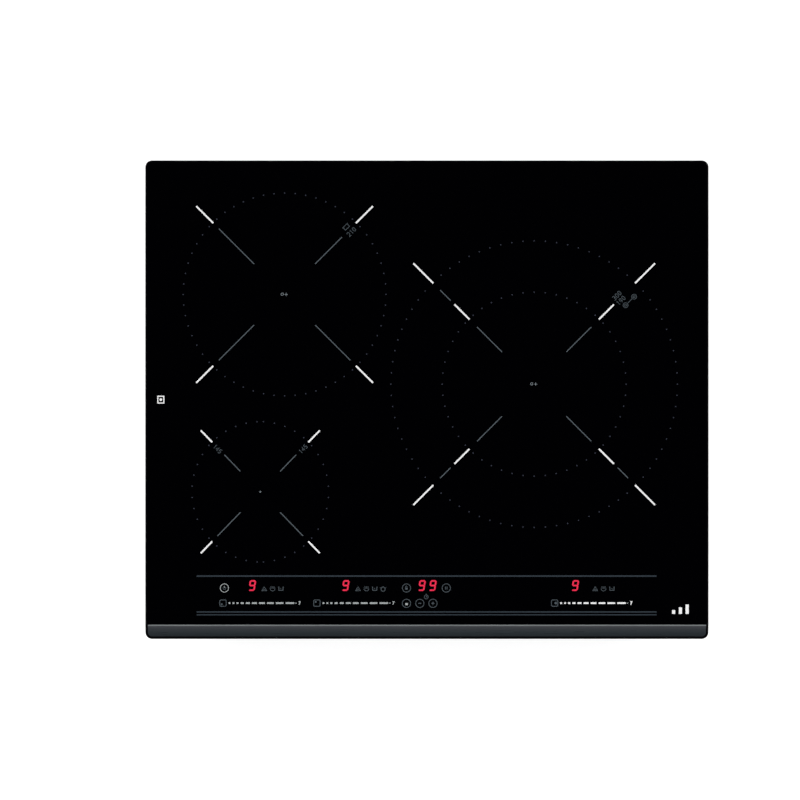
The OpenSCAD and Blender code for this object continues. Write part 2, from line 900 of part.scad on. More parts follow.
module blower_housing() {
    half = sink_w / 2 + 1;
    inner = half - blower_wall;
    color("dimgray") translate([side_x, blower_y, floor_top]) difference() {
        linear_extrude(blower_h) blower_outline(blower_r, half);
        translate([0, 0, blower_wall]) linear_extrude(blower_h - 2 * blower_wall) {
            blower_outline(blower_r - blower_wall, inner);
            translate([-inner, mouth_y]) square([2 * inner, 2 * mouth_y]);
        }
        translate([0, 0, -over]) cylinder(r = inlet_r + blower_wall, h = blower_wall + 2 * over);
        translate([0, 0, blower_h - blower_wall - over])
            cylinder(r = vent_r, h = blower_wall + 2 * over);
    }
}

module blade2d() {
    intersection() {
        difference() {
            circle(blade_outer);
            circle(blade_inner);
        }
        translate([0, 4]) square([blade_outer + 1, blade_inner]);
    }
}

module blower_wheel() {
    h = wheel_top - wheel_foot;
    color("dimgray") translate([side_x, blower_y, wheel_foot]) {
        difference() {
            union() {
                translate([0, 0, h - web_t]) cylinder(r = wheel_r, h = web_t);
                translate([0, 0, h - hub_h]) cylinder(r = hub_r, h = hub_h);
            }
            translate([0, 0, h - hub_h + rim_ring]) cylinder(r = hub_r - hub_wall, h = hub_h);
        }
        translate([0, 0, h - hub_h + 1]) cylinder(r = shaft_r, h = shaft_l);
        for (k = [0 : blades - 1]) rotate(360 * k / blades)
            translate([wheel_r - blade_outer + 0.5, -blade_offset, 0])
                linear_extrude(h - web_t / 2) blade2d();
        disc_ring(wheel_r, wheel_r - rim_ring, 0, rim_ring);
    }
}

module blower_motor() {
    top = floor_top + blower_h - blower_wall;
    translate([side_x, blower_y, 0]) difference() {
        union() {
            translate([0, 0, top - motor_flange_t])
                cylinder(r = motor_r + motor_flange, h = motor_flange_t);
            translate([0, 0, top - motor_h]) cylinder(r = motor_r, h = motor_h);
        }
        translate([0, 0, top - motor_h - over]) cylinder(r = shaft_r + pin_play, h = motor_h + 2 * over);
    }
}

module blower_housing_right() { blower_housing(); }
module blower_wheel_right() { blower_wheel(); }
module blower_housing_left() { mirror([1, 0, 0]) blower_housing(); }
module blower_wheel_left() { mirror([1, 0, 0]) blower_wheel(); }
module blower_motors() { color("gray") for (s = [0, 1]) mirror([s, 0, 0]) blower_motor(); }

// ---------- Mains terminal box ----------

module terminal_housing() {
    middle = [notch_x, box_y + box_d / 2];
    color("dimgray") difference() {
        union() {
            difference() {
                block([box_w, box_d, box_top - box_z], [middle.x, middle.y, box_z]);
                block([box_w - 2 * box_wall, box_d - 2 * box_wall, box_top - box_z - 2 * box_wall],
                    [middle.x, middle.y, box_z + box_wall]);
                block([flap_w - 2 * flap_lap, cut, flap_top - flap_z - 2 * flap_lap],
                    [flap_x, box_rear, flap_z + flap_lap + 1]);
            }
            translate([entry_x, box_rear - box_wall, entry_z]) rotate([-90, 0, 0])
                cylinder(r = entry_r + entry_wall, h = box_wall + entry_collar);
            for (s = [-1, 1])
                block([ear_t, flap_y + ear_h - box_rear, ear_h],
                    [flap_x + s * (ear_x + ear_t / 2), (flap_y + box_rear) / 2, flap_z - ear_h / 2]);
        }
        translate([entry_x, box_rear - box_wall - over, entry_z]) rotate([-90, 0, 0])
            cylinder(r = entry_r, h = box_wall + entry_collar + 2 * over);
        translate([flap_x - ear_x - ear_t - over, flap_y, flap_z]) rotate([0, 90, 0])
            cylinder(r = pin_r + pin_play, h = 2 * (ear_x + ear_t + over));
        block([wire_hole_w, cut, wire_hole_h], [wire_hole_x, box_y, wire_hole_z]);
    }
}

module terminal_flap() {
    color("gray") {
        difference() {
            block([flap_w, flap_t, flap_top - flap_z], [flap_x, flap_y, flap_z]);
            block(grip, [flap_x, flap_y + flap_t / 2, flap_top - grip.z - 2]);
        }
        translate([flap_x - flap_w / 2, flap_y, flap_z]) rotate([0, 90, 0])
            cylinder(r = knuckle_r, h = flap_w);
        translate([flap_x - ear_x - ear_t, flap_y, flap_z]) rotate([0, 90, 0])
            cylinder(r = pin_r, h = 2 * (ear_x + ear_t));
    }
}

// Where the poles of the terminal block stand
function pole_at(k) = pole_x + (k - (poles - 1) / 2) * pole_pitch;

module terminal_block() {
    foot = box_z + box_wall;
    color("ivory") difference() {
        union() {
            block([poles * pole_pitch, block_d, block_h], [pole_x, pole_y, foot]);
            block([poles * pole_pitch, block_d / 2, ridge_h], [pole_x, pole_y - block_d / 4, foot]);
        }
        for (k = [0 : poles - 1]) translate([pole_at(k), pole_y + block_d / 4, foot]) {
            translate([0, 0, screw_well_z]) cylinder(r = screw_well_r, h = ridge_h);
            translate([0, -screw_well_r, wire_way_z]) rotate([-90, 0, 0])
                cylinder(r = wire_way_r, h = block_d);
        }
    }
}

module terminal_screws() {
    color("goldenrod") for (k = [0 : poles - 1])
        translate([pole_at(k), pole_y + block_d / 4, box_z + box_wall + pole_screw_z])
            screw(pole_screw_r, pole_screw_l, pole_screw_head);
}

// ---------- Fixing clamps ----------

// A clamp arm round the origin, lying along +Y, with a lip that meets the worktop's underside
module clamp_arm() {
    difference() {
        union() {
            linear_extrude(clamp_t) {
                circle(clamp_w / 2);
                translate([-clamp_w / 2, 0]) square([clamp_w, clamp_reach]);
            }
            translate([-clamp_w / 2, clamp_reach - clamp_t, 0]) cube([clamp_w, clamp_t, clamp_lip]);
            translate([-clamp_w / 2, clamp_reach - clamp_t, clamp_lip - clamp_t])
                cube([clamp_w, clamp_t + clamp_toe, clamp_t]);
            cylinder(r = clamp_boss_r, h = clamp_lip);
        }
        translate([0, 0, -over]) cylinder(r = clamp_screw_r + pin_play, h = cut);
    }
}

module clamp(x, y) {
    color("silver") translate([x * clamp_x, y * clamp_y, clamp_z])
        mirror([0, y > 0 ? 1 : 0, 0]) clamp_arm();
}

module clamp_front_left() { clamp(-1, -1); }
module clamp_front_right() { clamp(1, -1); }
module clamp_rear_left() { clamp(-1, 1); }
module clamp_rear_right() { clamp(1, 1); }

// Long screws that hang from the casing's ledge and hold the clamps up
module clamp_screws() {
    color("lightgray") for (x = [-1, 1], y = [-1, 1])
        translate([x * clamp_x, y * clamp_y, clamp_z - 2 * gap]) mirror([0, 0, 1])
            screw(clamp_screw_r, ledge_top - clamp_z + 3, clamp_head);
}

// ---------- Nodes ----------

glass_top();
glass_adhesive();
perimeter_seal();
support_frame();
casing_rim();
casing_pan();
casing_screws();
coil_deck();
deck_pillars();
mica_rear_left();
winding_rear_left();
former_rear_left();
ferrites_rear_left();
coil_plate_rear_left();
coil_springs_rear_left();
sensor_rear_left();
mica_front_left();
winding_front_left();
former_front_left();
ferrites_front_left();
coil_plate_front_left();
coil_springs_front_left();
sensor_front_left();
mica_right();
winding_right_inner();
winding_right_outer();
former_right();
ferrites_right();
coil_plate_right();
coil_springs_right();
sensor_right();
control_housing();
control_board();
display_modules();
touch_pads();
control_ribbon();
power_board_left();
power_parts_left();
heat_sink_left();
power_board_right();
power_parts_right();
heat_sink_right();
filter_board();
filter_parts();
coil_leads();
mains_wires();
blower_housing_left();
blower_wheel_left();
blower_housing_right();
blower_wheel_right();
blower_motors();
terminal_housing();
terminal_flap();
terminal_block();
terminal_screws();
clamp_front_left();
clamp_front_right();
clamp_rear_left();
clamp_rear_right();
clamp_screws();
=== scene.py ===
import json
import math
import bpy
import bmesh
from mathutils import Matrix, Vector


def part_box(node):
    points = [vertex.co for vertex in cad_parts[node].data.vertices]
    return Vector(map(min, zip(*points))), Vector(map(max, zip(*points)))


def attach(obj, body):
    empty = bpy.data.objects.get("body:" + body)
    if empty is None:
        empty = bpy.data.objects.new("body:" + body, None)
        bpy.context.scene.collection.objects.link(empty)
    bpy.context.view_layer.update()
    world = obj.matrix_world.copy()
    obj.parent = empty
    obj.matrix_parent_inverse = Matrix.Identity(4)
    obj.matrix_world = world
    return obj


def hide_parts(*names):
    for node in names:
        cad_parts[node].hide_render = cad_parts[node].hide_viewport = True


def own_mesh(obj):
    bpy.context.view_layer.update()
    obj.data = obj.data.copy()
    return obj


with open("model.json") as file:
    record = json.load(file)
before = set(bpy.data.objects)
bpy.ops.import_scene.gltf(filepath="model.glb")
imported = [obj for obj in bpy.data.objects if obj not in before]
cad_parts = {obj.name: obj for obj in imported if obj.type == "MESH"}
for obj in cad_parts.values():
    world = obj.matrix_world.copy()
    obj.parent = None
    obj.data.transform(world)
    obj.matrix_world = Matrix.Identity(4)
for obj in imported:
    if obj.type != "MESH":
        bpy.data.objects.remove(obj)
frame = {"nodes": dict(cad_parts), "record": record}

# Induction hob. The CAD nodes stay where the frame puts them and get better materials. The glass,
# the windings and the springs are replaced by finer meshes, and the print on the glass, the lit figures
# and the labels are added. Lengths below are in millimetres, and MM turns them into Blender's metres.

MM = 0.001
TAU = 2 * math.pi
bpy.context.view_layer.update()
BODY = "casing"


def box_mm(node):
    """Lowest and highest corner of a CAD node, in millimetres."""
    low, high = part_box(node)
    return [v / MM for v in low], [v / MM for v in high]


MOUNTS = {m["name"]: [v / MM for v in m["pos_m"]] for m in frame["record"]["mounts"]}
GLASS_LOW, GLASS_HIGH = box_mm("glass_top")
GLASS_TOP = GLASS_HIGH[2]
FLOOR_Z = box_mm("casing_pan")[0][2]


# ---- node helpers

def add_node(tree, kind, inputs=None, **settings):
    """A shader node. Each input is another node's output to link, or a value to set."""
    made = tree.nodes.new("ShaderNode" + kind)
    for key, value in settings.items():
        setattr(made, key, value)
    for key, value in (inputs or {}).items():
        if isinstance(value, bpy.types.NodeSocket):
            tree.links.new(value, made.inputs[key])
        else:
            made.inputs[key].default_value = value
    return made


def set_stops(ramp, stops):
    """Gives a colour ramp its stops; each is a position and a colour or a grey."""
    elements = ramp.color_ramp.elements
    while len(elements) > len(stops):
        elements.remove(elements[-1])
    while len(elements) < len(stops):
        elements.new(1.0)
    for element, (position, colour) in zip(elements, stops):
        element.position = position
        shade = colour if isinstance(colour, tuple) else (colour,) * 3
        element.color = (*shade, 1)


# ---- camera, lights and floor

LENS, SENSOR = 100, 36
FRAME_WIDTH = 852
OFFSET_X, OFFSET_Y = -28.7, -0.2
CLIP_NEAR, CLIP_FAR = 0.05, 60
LAMP_WATTS = 60
LAMPS = (("key_left", (-2.6, 1.2, 2.0), (1.6, 1.6)), ("key_right", (2.6, 1.0, 2.0), (1.6, 1.6)),
         ("fill_front", (0, -2.9, 1.7), (2.4, 1.2)))
DOME = ((0.0, (0.62, 0.62, 0.63)), (0.35, (0.42, 0.42, 0.4242)), (0.7, (0.16, 0.16, 0.1616)), (0.9, 0.0))
FLOOR_REACH = 12
FLOOR_DROP = 0.0002
FLOOR_GREY = (0.55, 0.55, 0.55, 1)
FLOOR_GLOW = 0.72


def make_camera():
    """Straight above the glass, a little to its left, so that the hob sits right of the middle."""
    data = bpy.data.cameras.new("camera")
    data.lens = LENS
    data.sensor_width = SENSOR
    data.clip_start, data.clip_end = CLIP_NEAR, CLIP_FAR
    camera = bpy.data.objects.new("camera", data)
    bpy.context.scene.collection.objects.link(camera)
    height = FRAME_WIDTH * LENS / SENSOR
    camera.location = Vector((OFFSET_X, OFFSET_Y, GLASS_TOP + height)) * MM
    bpy.context.scene.camera = camera


def make_lamp(name, place, size):
    """A soft lamp that faces the hob, and that the glass doesn't mirror."""
    data = bpy.data.lights.new(name, "AREA")
    data.shape = "RECTANGLE"
    data.size, data.size_y = size
    data.energy = LAMP_WATTS
    lamp = bpy.data.objects.new(name, data)
    lamp.location = place
    lamp.rotation_euler = (-Vector(place)).to_track_quat("-Z", "Y").to_euler()
    lamp.visible_glossy = False
    lamp.visible_camera = False
    bpy.context.scene.collection.objects.link(lamp)


def make_world():
    """White to the camera; to everything else a soft dome, dark overhead so that the glass stays black."""
    world = bpy.data.worlds.new("studio")
    bpy.context.scene.world = world
    world.use_nodes = True
    tree = world.node_tree
    tree.nodes.clear()
    direction = add_node(tree, "TexCoord").outputs["Generated"]
    height = add_node(tree, "SeparateXYZ", {0: direction}).outputs["Z"]
    ramp = add_node(tree, "ValToRGB", {0: height})
    set_stops(ramp, DOME)
    dome = add_node(tree, "Background", {"Color": ramp.outputs[0], "Strength": 1.0})
    paper = add_node(tree, "Background", {"Color": (1, 1, 1, 1)})
    seen = add_node(tree, "LightPath").outputs["Is Camera Ray"]
    pick = add_node(tree, "MixShader", {0: seen, 1: dome.outputs[0], 2: paper.outputs[0]})
    add_node(tree, "OutputWorld", {"Surface": pick.outputs[0]})


def make_floor():
    """A pale floor that the hob's casing stands on. It is clear from below, for views from under it."""
    mesh = bpy.data.meshes.new("floor")
    corners = [(-1, -1), (1, -1), (1, 1), (-1, 1)]
    level = FLOOR_Z * MM - FLOOR_DROP
    mesh.from_pydata([(x * FLOOR_REACH, y * FLOOR_REACH, level) for x, y in corners], [], [(0, 1, 2, 3)])
    floor = bpy.data.objects.new("floor", mesh)
    bpy.context.scene.collection.objects.link(floor)
    material = bpy.data.materials.new("floor_paper")
    material.use_nodes = True
    tree = material.node_tree
    tree.nodes.clear()
    paper = add_node(tree, "BsdfDiffuse", {"Color": FLOOR_GREY})
    glow = add_node(tree, "Emission", {"Color": (1, 1, 1, 1), "Strength": FLOOR_GLOW})
    lit = add_node(tree, "AddShader", {0: paper.outputs[0], 1: glow.outputs[0]})
    clear = add_node(tree, "BsdfTransparent")
    back = add_node(tree, "NewGeometry").outputs["Backfacing"]
    pick = add_node(tree, "MixShader", {0: back, 1: lit.outputs[0], 2: clear.outputs[0]})
    add_node(tree, "OutputMaterial", {"Surface": pick.outputs[0]})
    mesh.materials.append(material)


# ---- materials

# Refraction of the glass, and where noise counts as low or high.
GLASS_IOR = 1.53
LOW, HIGH = 0.3, 0.7
# Strands of the litz wire: from one to the next along a turn, their number round it, and along a lead.
LAY = 2.4
STRANDS = 7
LEAD_PITCH = 1.1
# From track to track, from core to core of the flat cable, from turn to turn of a touch contact.
TRACK_PITCH = 1.9
CORE_PITCH = 1.27
CONTACT_PITCH = 0.5
# Cases on the boards: from each distance from the middle line outwards, their shade.
POWER_COLUMNS = ((0, (0.42, 0.30, 0.06)), (100, (0.02, 0.02, 0.02)), (180, (0.32, 0.13, 0.05)),
                 (229, (0.55, 0.54, 0.5)), (250, (0.1, 0.1, 0.1)))
FILTER_COLUMNS = ((0, (0.5, 0.36, 0.06)), (17, (0.36, 0.15, 0.05)), (21, (0.5, 0.36, 0.06)))


class Finish:
    """A material with one Principled shader. Constants go straight onto its sockets."""

    def __init__(self, name, **constants):
        self.material = bpy.data.materials.new(name)
        self.material.use_nodes = True
        self.tree = self.material.node_tree
        self.shader = self.tree.nodes["Principled BSDF"]
        for socket, value in constants.items():
            self.shader.inputs[socket.replace("_", " ")].default_value = value

    def node(self, kind, inputs=None, **settings):
        return add_node(self.tree, kind, inputs, **settings)

    def place(self, stretch=(1, 1, 1)):
        """The point on the object, stretched along its axes."""
        point = self.node("TexCoord").outputs["Object"]
        return self.node("Mapping", {"Vector": point, "Scale": stretch}).outputs[0]

    def noise(self, per_mm, detail=3.0, rough=0.5, stretch=(1, 1, 1)):
        """Noise with so many bumps to the millimetre."""
        return self.node("TexNoise", {"Vector": self.place(stretch), "Scale": per_mm / MM, "Detail": detail,
                                      "Roughness": rough}).outputs["Fac"]

    def cells(self, per_mm, feature="F1", output="Distance", metric="EUCLIDEAN"):
        """Cells, so many to the millimetre: the distance to their middles, or a colour for each."""
        return self.node("TexVoronoi", {"Vector": self.place(), "Scale": per_mm / MM}, feature=feature,
                         distance=metric).outputs[output]

    def patches(self, per_mm, channel=0, metric="EUCLIDEAN"):
        """A random grey for each cell."""
        colours = self.cells(per_mm, output="Color", metric=metric)
        return self.node("SeparateColor", {"Color": colours}).outputs[channel]

    def ramp(self, factor, *stops):
        """A colour ramp; each stop is a position and a colour or a grey."""
        made = self.node("ValToRGB", {"Fac": factor})
        set_stops(made, stops)
        return made.outputs["Color"]

    def math(self, operation, a, b=0.0):
        return self.node("Math", {0: a, 1: b}, operation=operation).outputs[0]

    def times(self, a, b):
        return self.math("MULTIPLY", a, b)

    def plus(self, a, b):
        return self.math("ADD", a, b)

    def ribs(self, angle):
        """Round ribs side by side, one to each half turn of the angle."""
        return self.math("ABSOLUTE", self.math("SINE", angle))

    def axis(self, letter):
        """One coordinate of the point on the object, in metres."""
        point = self.node("TexCoord").outputs["Object"]
        return self.node("SeparateXYZ", {"Vector": point}).outputs[letter]

    def between(self, value, low, high):
        """0 at low, 1 at high, straight between them and flat beyond."""
        return self.node("MapRange", {"Value": value, "From Min": low, "From Max": high}).outputs[0]

    def mix(self, factor, first, second, **settings):
        """Two colours mixed. Each of the three is a socket or a value."""
        return self.node("Mix", {0: factor, 6: first, 7: second}, data_type="RGBA", **settings).outputs[2]

    def colour(self, source):
        self.tree.links.new(source, self.shader.inputs["Base Color"])
        return self

    def roughness(self, source):
        self.tree.links.new(source, self.shader.inputs["Roughness"])
        return self

    def bump(self, height, depth_mm, strength):
        made = self.node("Bump", {"Height": height, "Strength": strength, "Distance": depth_mm * MM})
        self.tree.links.new(made.outputs[0], self.shader.inputs["Normal"])
        return self

    def glow(self, source):
        self.tree.links.new(source, self.shader.inputs["Emission Color"])
        return self

    def tint(self, noise, dark, light):
        """Colour that wanders between two shades."""
        return self.colour(self.ramp(self.noise(*noise), (LOW, dark), (HIGH, light)))

    def gloss(self, noise, smooth, rough):
        """Roughness that wanders between two values."""
        return self.roughness(self.ramp(self.noise(*noise), (LOW, smooth), (HIGH, rough)))

    def grain(self, noise, depth_mm, strength):
        """Relief that follows a noise."""
        return self.bump(self.noise(*noise), depth_mm, strength)


def scaled(shade, factor, lift=0.0):
    """A shade made darker or lighter."""
    return tuple(min(v * factor + lift, 1) for v in shade)


def plain(name, tint, gloss, grain=None, **constants):
    """A finish whose colour, roughness and relief each follow a noise; its settings come first in each."""
    f = Finish(name, **constants).tint(*tint).gloss(*gloss)
    return (f.grain(*grain) if grain else f).material


def ceramic_glass():
    """Black glass ceramic: faint wiping marks in its gloss, and the slightest ripple."""
    f = Finish("black_glass", IOR=GLASS_IOR)
    f.colour(f.ramp(f.noise(0.9, 6), (0.35, (0.0002, 0.0002, 0.0005)),
                    (0.75, (0.0006, 0.0006, 0.0011))))
    f.gloss((0.012, 5, 0.6, (1, 2.6, 1)), 0.028, 0.06)
    return f.grain((0.02, 1), 0.01, 0.12).material


def ground_facet_painted_reflection():
    """The front facet: ground grey with fine grinding lines, and a painted reflection lighter towards its
    upper edge.
    """
    f = Finish("ground_facet_painted_reflection", IOR=GLASS_IOR)
    along = (0.02, 1, 1)
    height = f.between(f.axis("Y"), (GLASS_LOW[1] + 1) * MM, FACET_TOP * MM)
    lines = f.times(f.math("SUBTRACT", f.noise(2.2, 4, 0.6, along), 0.5), 0.04)
    # The grey rises towards the upper edge: a painted reflection. The grinding lines are the glass's own
    # streaks.
    f.colour(f.ramp(f.plus(height, lines), (0.15, (0.0155, 0.0195, 0.0225)),
                    (0.45, (0.0225, 0.0285, 0.0325)), (0.7, (0.035, 0.039, 0.044)),
                    (0.86, (0.045, 0.049, 0.056)), (0.95, (0.066, 0.065, 0.073))))
    f.gloss((1.5, 3, 0.5, along), 0.26, 0.36)
    return f.grain((3, 3, 0.5, along), 0.01, 0.15).material


def arris_painted_highlight():
    """The line where the flat top turns into the facet, coloured light grey: a painted highlight."""
    return plain("arris_painted_highlight",
                 ((1.2, 3, 0.5, (0.05, 1, 1)), (0.175, 0.19, 0.195), (0.21, 0.225, 0.23)),
                 ((2.5, 2), 0.16, 0.26), IOR=GLASS_IOR)


def ground_edge():
    """The rounded edge all round the plate: ground, then fire-polished to a soft black."""
    return plain("ground_edge",
                 ((1.6, 4, 0.6, (1, 1, 0.2)), (0.0004, 0.0004, 0.0007), (0.001, 0.001, 0.0015)),
                 ((2.2, 3), 0.16, 0.3), ((5, 3), 0.004, 0.3), IOR=GLASS_IOR, Specular_IOR_Level=0.1)


def enamel(name, shade):
    """Screen-printed ceramic colour, a little uneven where it sank into the glass."""
    return plain(name, ((2.2, 4, 0.6), scaled(shade, 0.93), scaled(shade, 1.06)), ((3.0, 2), 0.36, 0.48),
                 ((6.0, 3), 0.006, 0.5))


def lit_red():
    """A lit figure segment seen through the glass, a little brighter in places."""
    f = Finish("lit_red", Base_Color=(0.01, 0.0, 0.0, 1), Roughness=0.3, Emission_Strength=1.0)
    return f.glow(f.ramp(f.noise(0.8, 2), (LOW, (0.72, 0.018, 0.06)), (HIGH, (0.95, 0.045, 0.105)))).material


def foam():
    """Closed-cell foam tape."""
    f = Finish("seal_foam", Sheen_Weight=0.15)
    f.tint((1.4, 4), 0.014, 0.03)
    f.gloss((2, 2), 0.82, 0.95)
    return f.bump(f.cells(2.2, "SMOOTH_F1"), 0.12, 0.6).material


def zinc_sheet():
    """Hot-dip galvanised sheet with its faint frost-like spangle."""
    f = Finish("zinc_sheet", Metallic=1.0)
    grey = f.patches(0.16)
    frost = f.plus(f.times(f.patches(0.5, 1), 0.2), f.times(f.noise(0.12, 7, 0.7), 0.5))
    blend = f.plus(f.times(grey, 0.3), frost)
    f.colour(f.ramp(blend, (0.15, (0.46, 0.475, 0.485)), (0.5, (0.535, 0.55, 0.56)),
                    (0.85, (0.61, 0.625, 0.63))))
    f.roughness(f.ramp(blend, (0.2, 0.38), (0.8, 0.5)))
    return f.bump(f.plus(f.noise(3, 3), f.times(grey, 0.3)), 0.01, 0.35).material


def plated(name, shade, rough):
    """Bright plated steel with fine turning marks and dull patches."""
    return plain(name, ((0.7, 5, 0.6), scaled(shade, 0.82), shade),
                 ((1.1, 4, 0.6), rough - 0.06, rough + 0.16), ((6, 2, 0.5, (1, 1, 0.1)), 0.01, 0.4),
                 Metallic=1.0)


def rolled_aluminium():
    """Mill-finish aluminium with rolling lines along X."""
    f = Finish("rolled_aluminium", Metallic=1.0)
    lines = f.noise(2.0, 5, 0.65, (0.012, 1, 1))
    f.colour(f.ramp(lines, (LOW, (0.60, 0.61, 0.62)), (HIGH, (0.75, 0.76, 0.77))))
    f.gloss((0.3, 4), 0.3, 0.44)
    return f.bump(lines, 0.012, 0.5).material


def extruded_aluminium():
    """Heat-sink profile, with die lines along Y."""
    f = Finish("extruded_aluminium", Metallic=1.0)
    lines = f.noise(2.4, 4, 0.6, (1, 0.01, 1))
    f.colour(f.ramp(lines, (LOW, (0.62, 0.63, 0.645)), (HIGH, (0.76, 0.77, 0.785))))
    f.roughness(f.ramp(lines, (LOW, 0.32), (HIGH, 0.46)))
    return f.bump(lines, 0.03, 0.5).material


def mica_flake():
    """Pressed mica: overlapping golden flakes."""
    f = Finish("mica_flake", Coat_Weight=0.2, Coat_Roughness=0.3)
    flake = f.patches(0.55, 1)
    blend = f.plus(f.times(flake, 0.55), f.times(f.noise(0.4, 6, 0.7), 0.45))
    f.colour(f.ramp(blend, (0.2, (0.30, 0.20, 0.095)), (0.5, (0.47, 0.35, 0.18)),
                    (0.82, (0.66, 0.56, 0.36))))
    f.roughness(f.ramp(flake, (0.2, 0.32), (0.8, 0.55)))
    return f.bump(blend, 0.04, 0.5).material


def litz(name, wound=True):
    """Enamelled copper strands twisted round each other, darker in the grooves between them: painted shade.
    On a wound turn U runs along it and V round it.
    """
    f = Finish(name, Metallic=0.85)
    if wound:
        uv = f.node("SeparateXYZ", {"Vector": f.node("TexCoord").outputs["UV"]})
        twist = f.plus(f.times(uv.outputs["X"], math.pi / LAY), f.times(uv.outputs["Y"], math.pi * STRANDS))
    else:
        twist = f.times(f.plus(f.axis("X"), f.axis("Z")), math.pi / (LEAD_PITCH * MM))
    strand = f.ribs(twist)
    stain = f.math("SUBTRACT", f.times(f.noise(0.5, 4), 0.5), 0.25)
    # Colour dark in the grooves between strands (painted shade) and bright on their crowns; the stain noise
    # is the copper's own.
    f.colour(f.ramp(f.plus(strand, stain), (0.1, (0.16, 0.05, 0.02)), (0.45, (0.52, 0.20, 0.085)),
                    (0.95, (0.80, 0.39, 0.20))))
    f.roughness(f.ramp(strand, (0.0, 0.6), (0.6, 0.3)))
    return f.bump(strand, 0.35, 0.9).material


def moulded(name, shade, rough):
    """Moulded plastic with a spark-eroded grain and slight flow variation."""
    return plain(name, ((0.06, 5, 0.6), scaled(shade, 0.85), scaled(shade, 1.15, 0.002)),
                 ((0.8, 4), rough - 0.07, rough + 0.09), ((3.0, 3, 0.6), 0.035, 0.5))


def glazed_ceramic():
    """White sensor body with a thin glaze over tiny pits."""
    f = Finish("glazed_ceramic", Coat_Weight=0.4, Coat_Roughness=0.12)
    f.tint((1.2, 5, 0.6), (0.66, 0.65, 0.61), (0.8, 0.79, 0.75))
    f.gloss((2, 3), 0.3, 0.42)
    return f.bump(f.cells(1.6), 0.02, 0.3).material


def solder_mask():
    """Green circuit board: tracks raised under the mask, with tinned pads between them."""
    f = Finish("solder_mask", Coat_Weight=0.5, Coat_Roughness=0.15)
    wave_x, wave_y = (f.math("SINE", f.times(f.axis(letter), TAU / (TRACK_PITCH * MM))) for letter in "XY")
    along_x = f.math("GREATER_THAN", f.patches(0.16, metric="CHEBYCHEV"), 0.5)
    tracks = f.plus(f.times(along_x, wave_x), f.times(f.math("SUBTRACT", 1.0, along_x), wave_y))
    raised = f.between(tracks, -0.15, 0.15)
    pads = f.between(f.cells(0.3), 0.16, 0.13)
    green = f.ramp(f.plus(f.times(raised, 0.55), f.times(f.noise(0.4, 4), 0.35)),
                   (0.15, (0.004, 0.045, 0.018)), (0.5, (0.008, 0.085, 0.03)), (0.85, (0.02, 0.15, 0.05)))
    f.colour(f.mix(pads, green, (0.62, 0.61, 0.56, 1)))
    f.gloss((1.5, 3), 0.3, 0.42)
    return f.bump(f.plus(raised, pads), 0.05, 0.6).material


def component_cases(name, across, stops):
    """Cases of the parts on a board. Each stop is a distance from the board's middle line and a shade."""
    f = Finish(name)
    distance = f.math("ABSOLUTE", f.axis("X"))
    reach = stops[-1][0] * 1.05
    colours = f.node("ValToRGB", {"Fac": f.math("DIVIDE", distance, reach * MM)})
    colours.color_ramp.interpolation = "CONSTANT"
    set_stops(colours, [(position / reach, shade) for position, shade in stops])
    dust = f.ramp(f.noise(0.9, 5, 0.6), (LOW, 0.85), (HIGH, 1.0))
    f.colour(f.mix(1.0, colours.outputs["Color"], dust, blend_type="MULTIPLY"))
    f.gloss((across, 3), 0.36, 0.55)
    return f.grain((2.4, 3, 0.6), 0.04, 0.4).material


def foil():
    """Metallised label foil."""
    return plain("foil", ((0.4, 4), (0.62, 0.63, 0.64), (0.72, 0.73, 0.74)), ((1.4, 5), 0.3, 0.42),
                 ((0.3, 2), 0.02, 0.3), Metallic=0.8)


def label_ink(name, shade):
    """Ink on a label, slightly mottled."""
    return plain(name, ((2.0, 4), shade, scaled(shade, 1.25, 0.003)), ((1.1, 3), 0.35, 0.5))


def flat_cable():
    """Grey ribbon cable: cores side by side along the ribbon, one edge marked red. The grey darkens into the
    grooves between cores: painted shade.
    """
    f = Finish("flat_cable")
    core = f.ribs(f.times(f.axis("X"), math.pi / (CORE_PITCH * MM)))
    low = box_mm("control_ribbon")[0][0] * MM
    edge = f.between(f.axis("X"), low + 1.1 * CORE_PITCH * MM, low + 1.0 * CORE_PITCH * MM)
    # Darker grey in the grooves between cores: painted shade.
    grey = f.ramp(core, (0.0, 0.16), (0.45, 0.42), (1.0, 0.52))
    f.colour(f.mix(edge, grey, (0.5, 0.03, 0.02, 1)))
    f.gloss((1.5, 3), 0.4, 0.55)
    return f.bump(core, 0.3, 0.8).material


def tinned_spring():
    """Coiled touch contact: tinned wire turns, darker in the grooves between them: painted shade."""
    f = Finish("tinned_spring", Metallic=1.0)
    turns = f.ribs(f.times(f.axis("Z"), math.pi / (CONTACT_PITCH * MM)))
    # Colour darkens into the grooves between the turns: painted shade.
    f.colour(f.ramp(f.plus(turns, f.times(f.noise(1.5, 3), 0.3)), (0.1, (0.2, 0.18, 0.13)),
                    (0.5, (0.62, 0.57, 0.45)), (1.0, (0.78, 0.74, 0.64))))
    f.roughness(f.ramp(turns, (0.0, 0.55), (0.6, 0.25)))
    return f.bump(turns, 0.3, 0.9).material


# ---- mesh helpers

